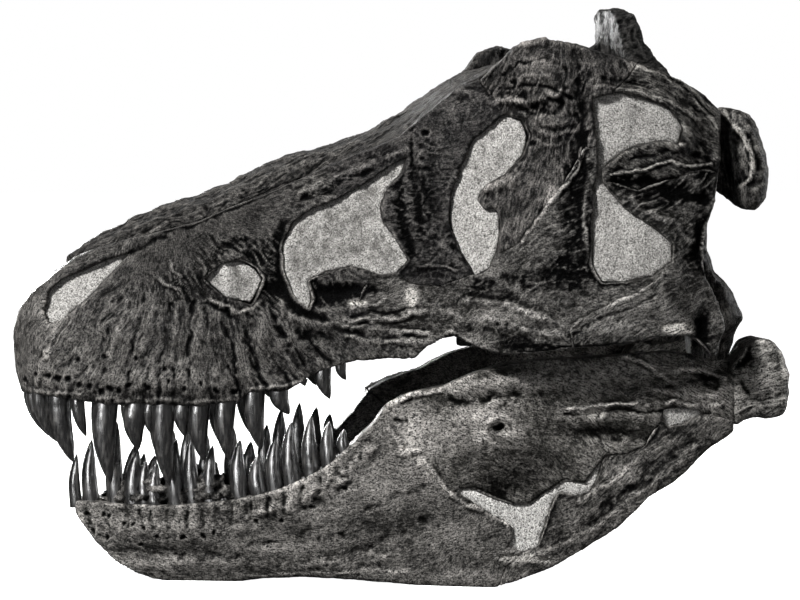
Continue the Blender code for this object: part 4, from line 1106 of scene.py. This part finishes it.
def makeMatrix(side, word, dentary, material):
    shape = bmesh.new()
    count = int((rootMatrix["to"] - rootMatrix["from"]) / rootMatrix["spacing"])
    for at in range(count):
        s = rootMatrix["from"] + at * rootMatrix["spacing"]
        edge = float(edgeHeight(s, lowerEdge))
        wall = wallMiddle(dentary, s, edge - 6)
        chance = cellValue(np.array([[at, 3, 5], [at, 4, 5], [at, 5, 5]]), 88)
        fade = min(1, at / 8, (count - at) / 4)
        fade = fade * (0.45 + 0.55 * chance[2])
        for up, across in ((-4, 0), (0.15, -7), (0.3, 6), (0.5, -3), (0.72, 3),
                           (0.75 + 0.25 * chance[0], 8 * chance[1] - 4)):
            lift = up if up < 0 else up * rootMatrix["height"] * fade
            made = bmesh.ops.create_icosphere(shape, subdivisions=2, radius=0.001
                                              * rootMatrix["radius"] * (0.6 + 0.5 * chance[2]))
            bmesh.ops.translate(shape, verts=made["verts"], vec=(
                (s - middle) / 1000, side * (wall + across) / 1000, (edge + lift) / 1000))
    item = makeObject(f"root_matrix_{word}", meshFrom(shape, "rootMatrix"))
    remesh = item.modifiers.new("surface", "REMESH")
    remesh.mode, remesh.voxel_size = "VOXEL", rootMatrix["voxel"] / 1000
    dense = settle(item)
    points, normals = readPoints(dense), readNormals(dense)
    places = placesOf(points)
    height = rootMatrix["rough"] * roughness(places, 16, 91, 4, 0.6)
    writePoints(dense, points + normals * height[:, None] / 1000)
    # painted highlight on the lumps, painted shade between them
    writeValues(dense, "worn", (height * 0.12).clip(-0.2, 0.6))
    writeValues(dense, "hollow", (-height * 0.3 + 0.35).clip(0, 1))
    writeValues(dense, "fibres", places / 1000)
    dense.materials.append(material)
    dense.shade_smooth()
    finishPiece(item, f"dentary_{word}")


# The set

# Lamps: name, place in m, width and height in m, and power in W. The one that is for gloss only
# draws the highlights on varnish and enamel. The floor is as bright as the backdrop to look at
# (glow), but lights the skull only dimly from below (bounce).
light = {"ambient": 0.05, "glow": 1.0, "bounce": 0.03, "glossOnly": "strip", "lamps": [
    ("key", (-3.1, -2.1, 3.9), (0.8, 0.8), 590), ("fill", (3.4, -4.4, 1.6), (1.2, 1.8), 42),
    ("strip", (-2.3, -4.1, 0.8), (1.0, 2.2), 230), ("rim", (-1.0, 3.4, 3.4), (2.4, 2.4), 24),
    ("farSide", (-1.5, 4.5, 0.9), (1.4, 1.4), 240), ("back", (4.8, 1.2, 1.0), (1.6, 1.6), 120)]}


# A floor of seamless studio paper, matt and nearly white, with a white backdrop and the lamps
def makeSet():
    scene = bpy.context.scene
    scene.view_settings.view_transform = "Standard"
    scene.view_settings.look = "None"
    shape = bmesh.new()
    bmesh.ops.create_grid(shape, x_segments=1, y_segments=1, size=40)
    floor = makeObject("studio_floor", meshFrom(shape, "studio_floor"))
    paper, tree, shader = newMaterial("studioPaper")
    shader.inputs["Roughness"].default_value = 0.9
    shader.inputs["Specular IOR Level"].default_value = 0.1
    shader.inputs["Emission Color"].default_value = (1, 1, 1, 1)
    seen = addNode(tree, "ShaderNodeLightPath").outputs["Is Camera Ray"]
    glow = addNode(tree, "ShaderNodeMapRange", {
        "Value": seen, "To Min": light["bounce"], "To Max": light["glow"]}).outputs[0]
    tree.links.new(glow, shader.inputs["Emission Strength"])
    shade = layered(tree, "#4a4a4a", ((seen, "#f6f6f5"),))
    tree.links.new(shade, shader.inputs["Base Color"])
    floor.data.materials.append(paper)
    world = bpy.data.worlds.new("studio")
    world.use_nodes = True
    tree = world.node_tree
    sky = tree.nodes["Background"]
    sky.inputs["Strength"].default_value = light["ambient"]
    backdrop = addNode(tree, "ShaderNodeBackground", {"Strength": 1.0})
    seen = addNode(tree, "ShaderNodeLightPath").outputs["Is Camera Ray"]
    backdrop.inputs["Color"].default_value = sky.inputs["Color"].default_value = (1, 1, 1, 1)
    mixed = addNode(tree, "ShaderNodeMixShader", {
        0: seen, 1: sky.outputs[0], 2: backdrop.outputs[0]}).outputs[0]
    tree.links.new(mixed, tree.nodes["World Output"].inputs["Surface"])
    scene.world = world
    for name, at, size, power in light["lamps"]:
        lamp = bpy.data.lights.new(name, "AREA")
        lamp.energy, lamp.shape, (lamp.size, lamp.size_y) = power, "RECTANGLE", size
        item = bpy.data.objects.new(name, lamp)
        item.location = at
        aim = Vector((0, 0, 0.55)) - Vector(at)
        item.rotation_euler = aim.to_track_quat("-Z", "Y").to_euler()
        item.visible_diffuse = name != light["glossOnly"]
        scene.collection.objects.link(item)


# The camera: what it looks at, from how far in m, its angles in degrees and its lens in mm
view = {"target": (0.0289, 0, 0.5333), "azimuth": -6, "elevation": 3, "distance": 6.2,
        "lens": 142.5}


def makeCamera():
    camera = bpy.data.cameras.new("camera")
    camera.lens, camera.sensor_width = view["lens"], 36
    item = bpy.data.objects.new("camera", camera)
    turn, rise = math.radians(view["azimuth"]), math.radians(view["elevation"])
    away = Vector((math.sin(turn) * math.cos(rise), -math.cos(turn) * math.cos(rise),
                   math.sin(rise)))
    item.location = Vector(view["target"]) + view["distance"] * away
    item.rotation_euler = (-away).to_track_quat("-Z", "Y").to_euler()
    bpy.context.scene.collection.objects.link(item)
    bpy.context.scene.camera = item


def main():
    bones = {}
    materials = {name: fossilBone(name) for name in boneLooks}
    materials.update({name: stippledPlaster(name) for name in plasterLooks})
    tree = toothTree(fossilEnamel())
    print("materials made:", len(materials) + 1)
    for name in sorted(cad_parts):
        if baseOf(name) in boneKinds:
            bones[name] = dressBone(name, materials)
        else:
            dressPlaster(name, materials)
    print("bones and plaster made:", len(bones), "bones of",
          sum(len(item.data.polygons) for item in bones.values()), "faces")
    for side, word in ((-1, "left"), (1, "right")):
        dentary = makeRows(side, word, bones, tree)
        makeMatrix(side, word, dentary, materials["jugalBone"])
    print("teeth and sediment made")
    makeSet()
    makeCamera()
    print("set, lamps and camera made")


main()
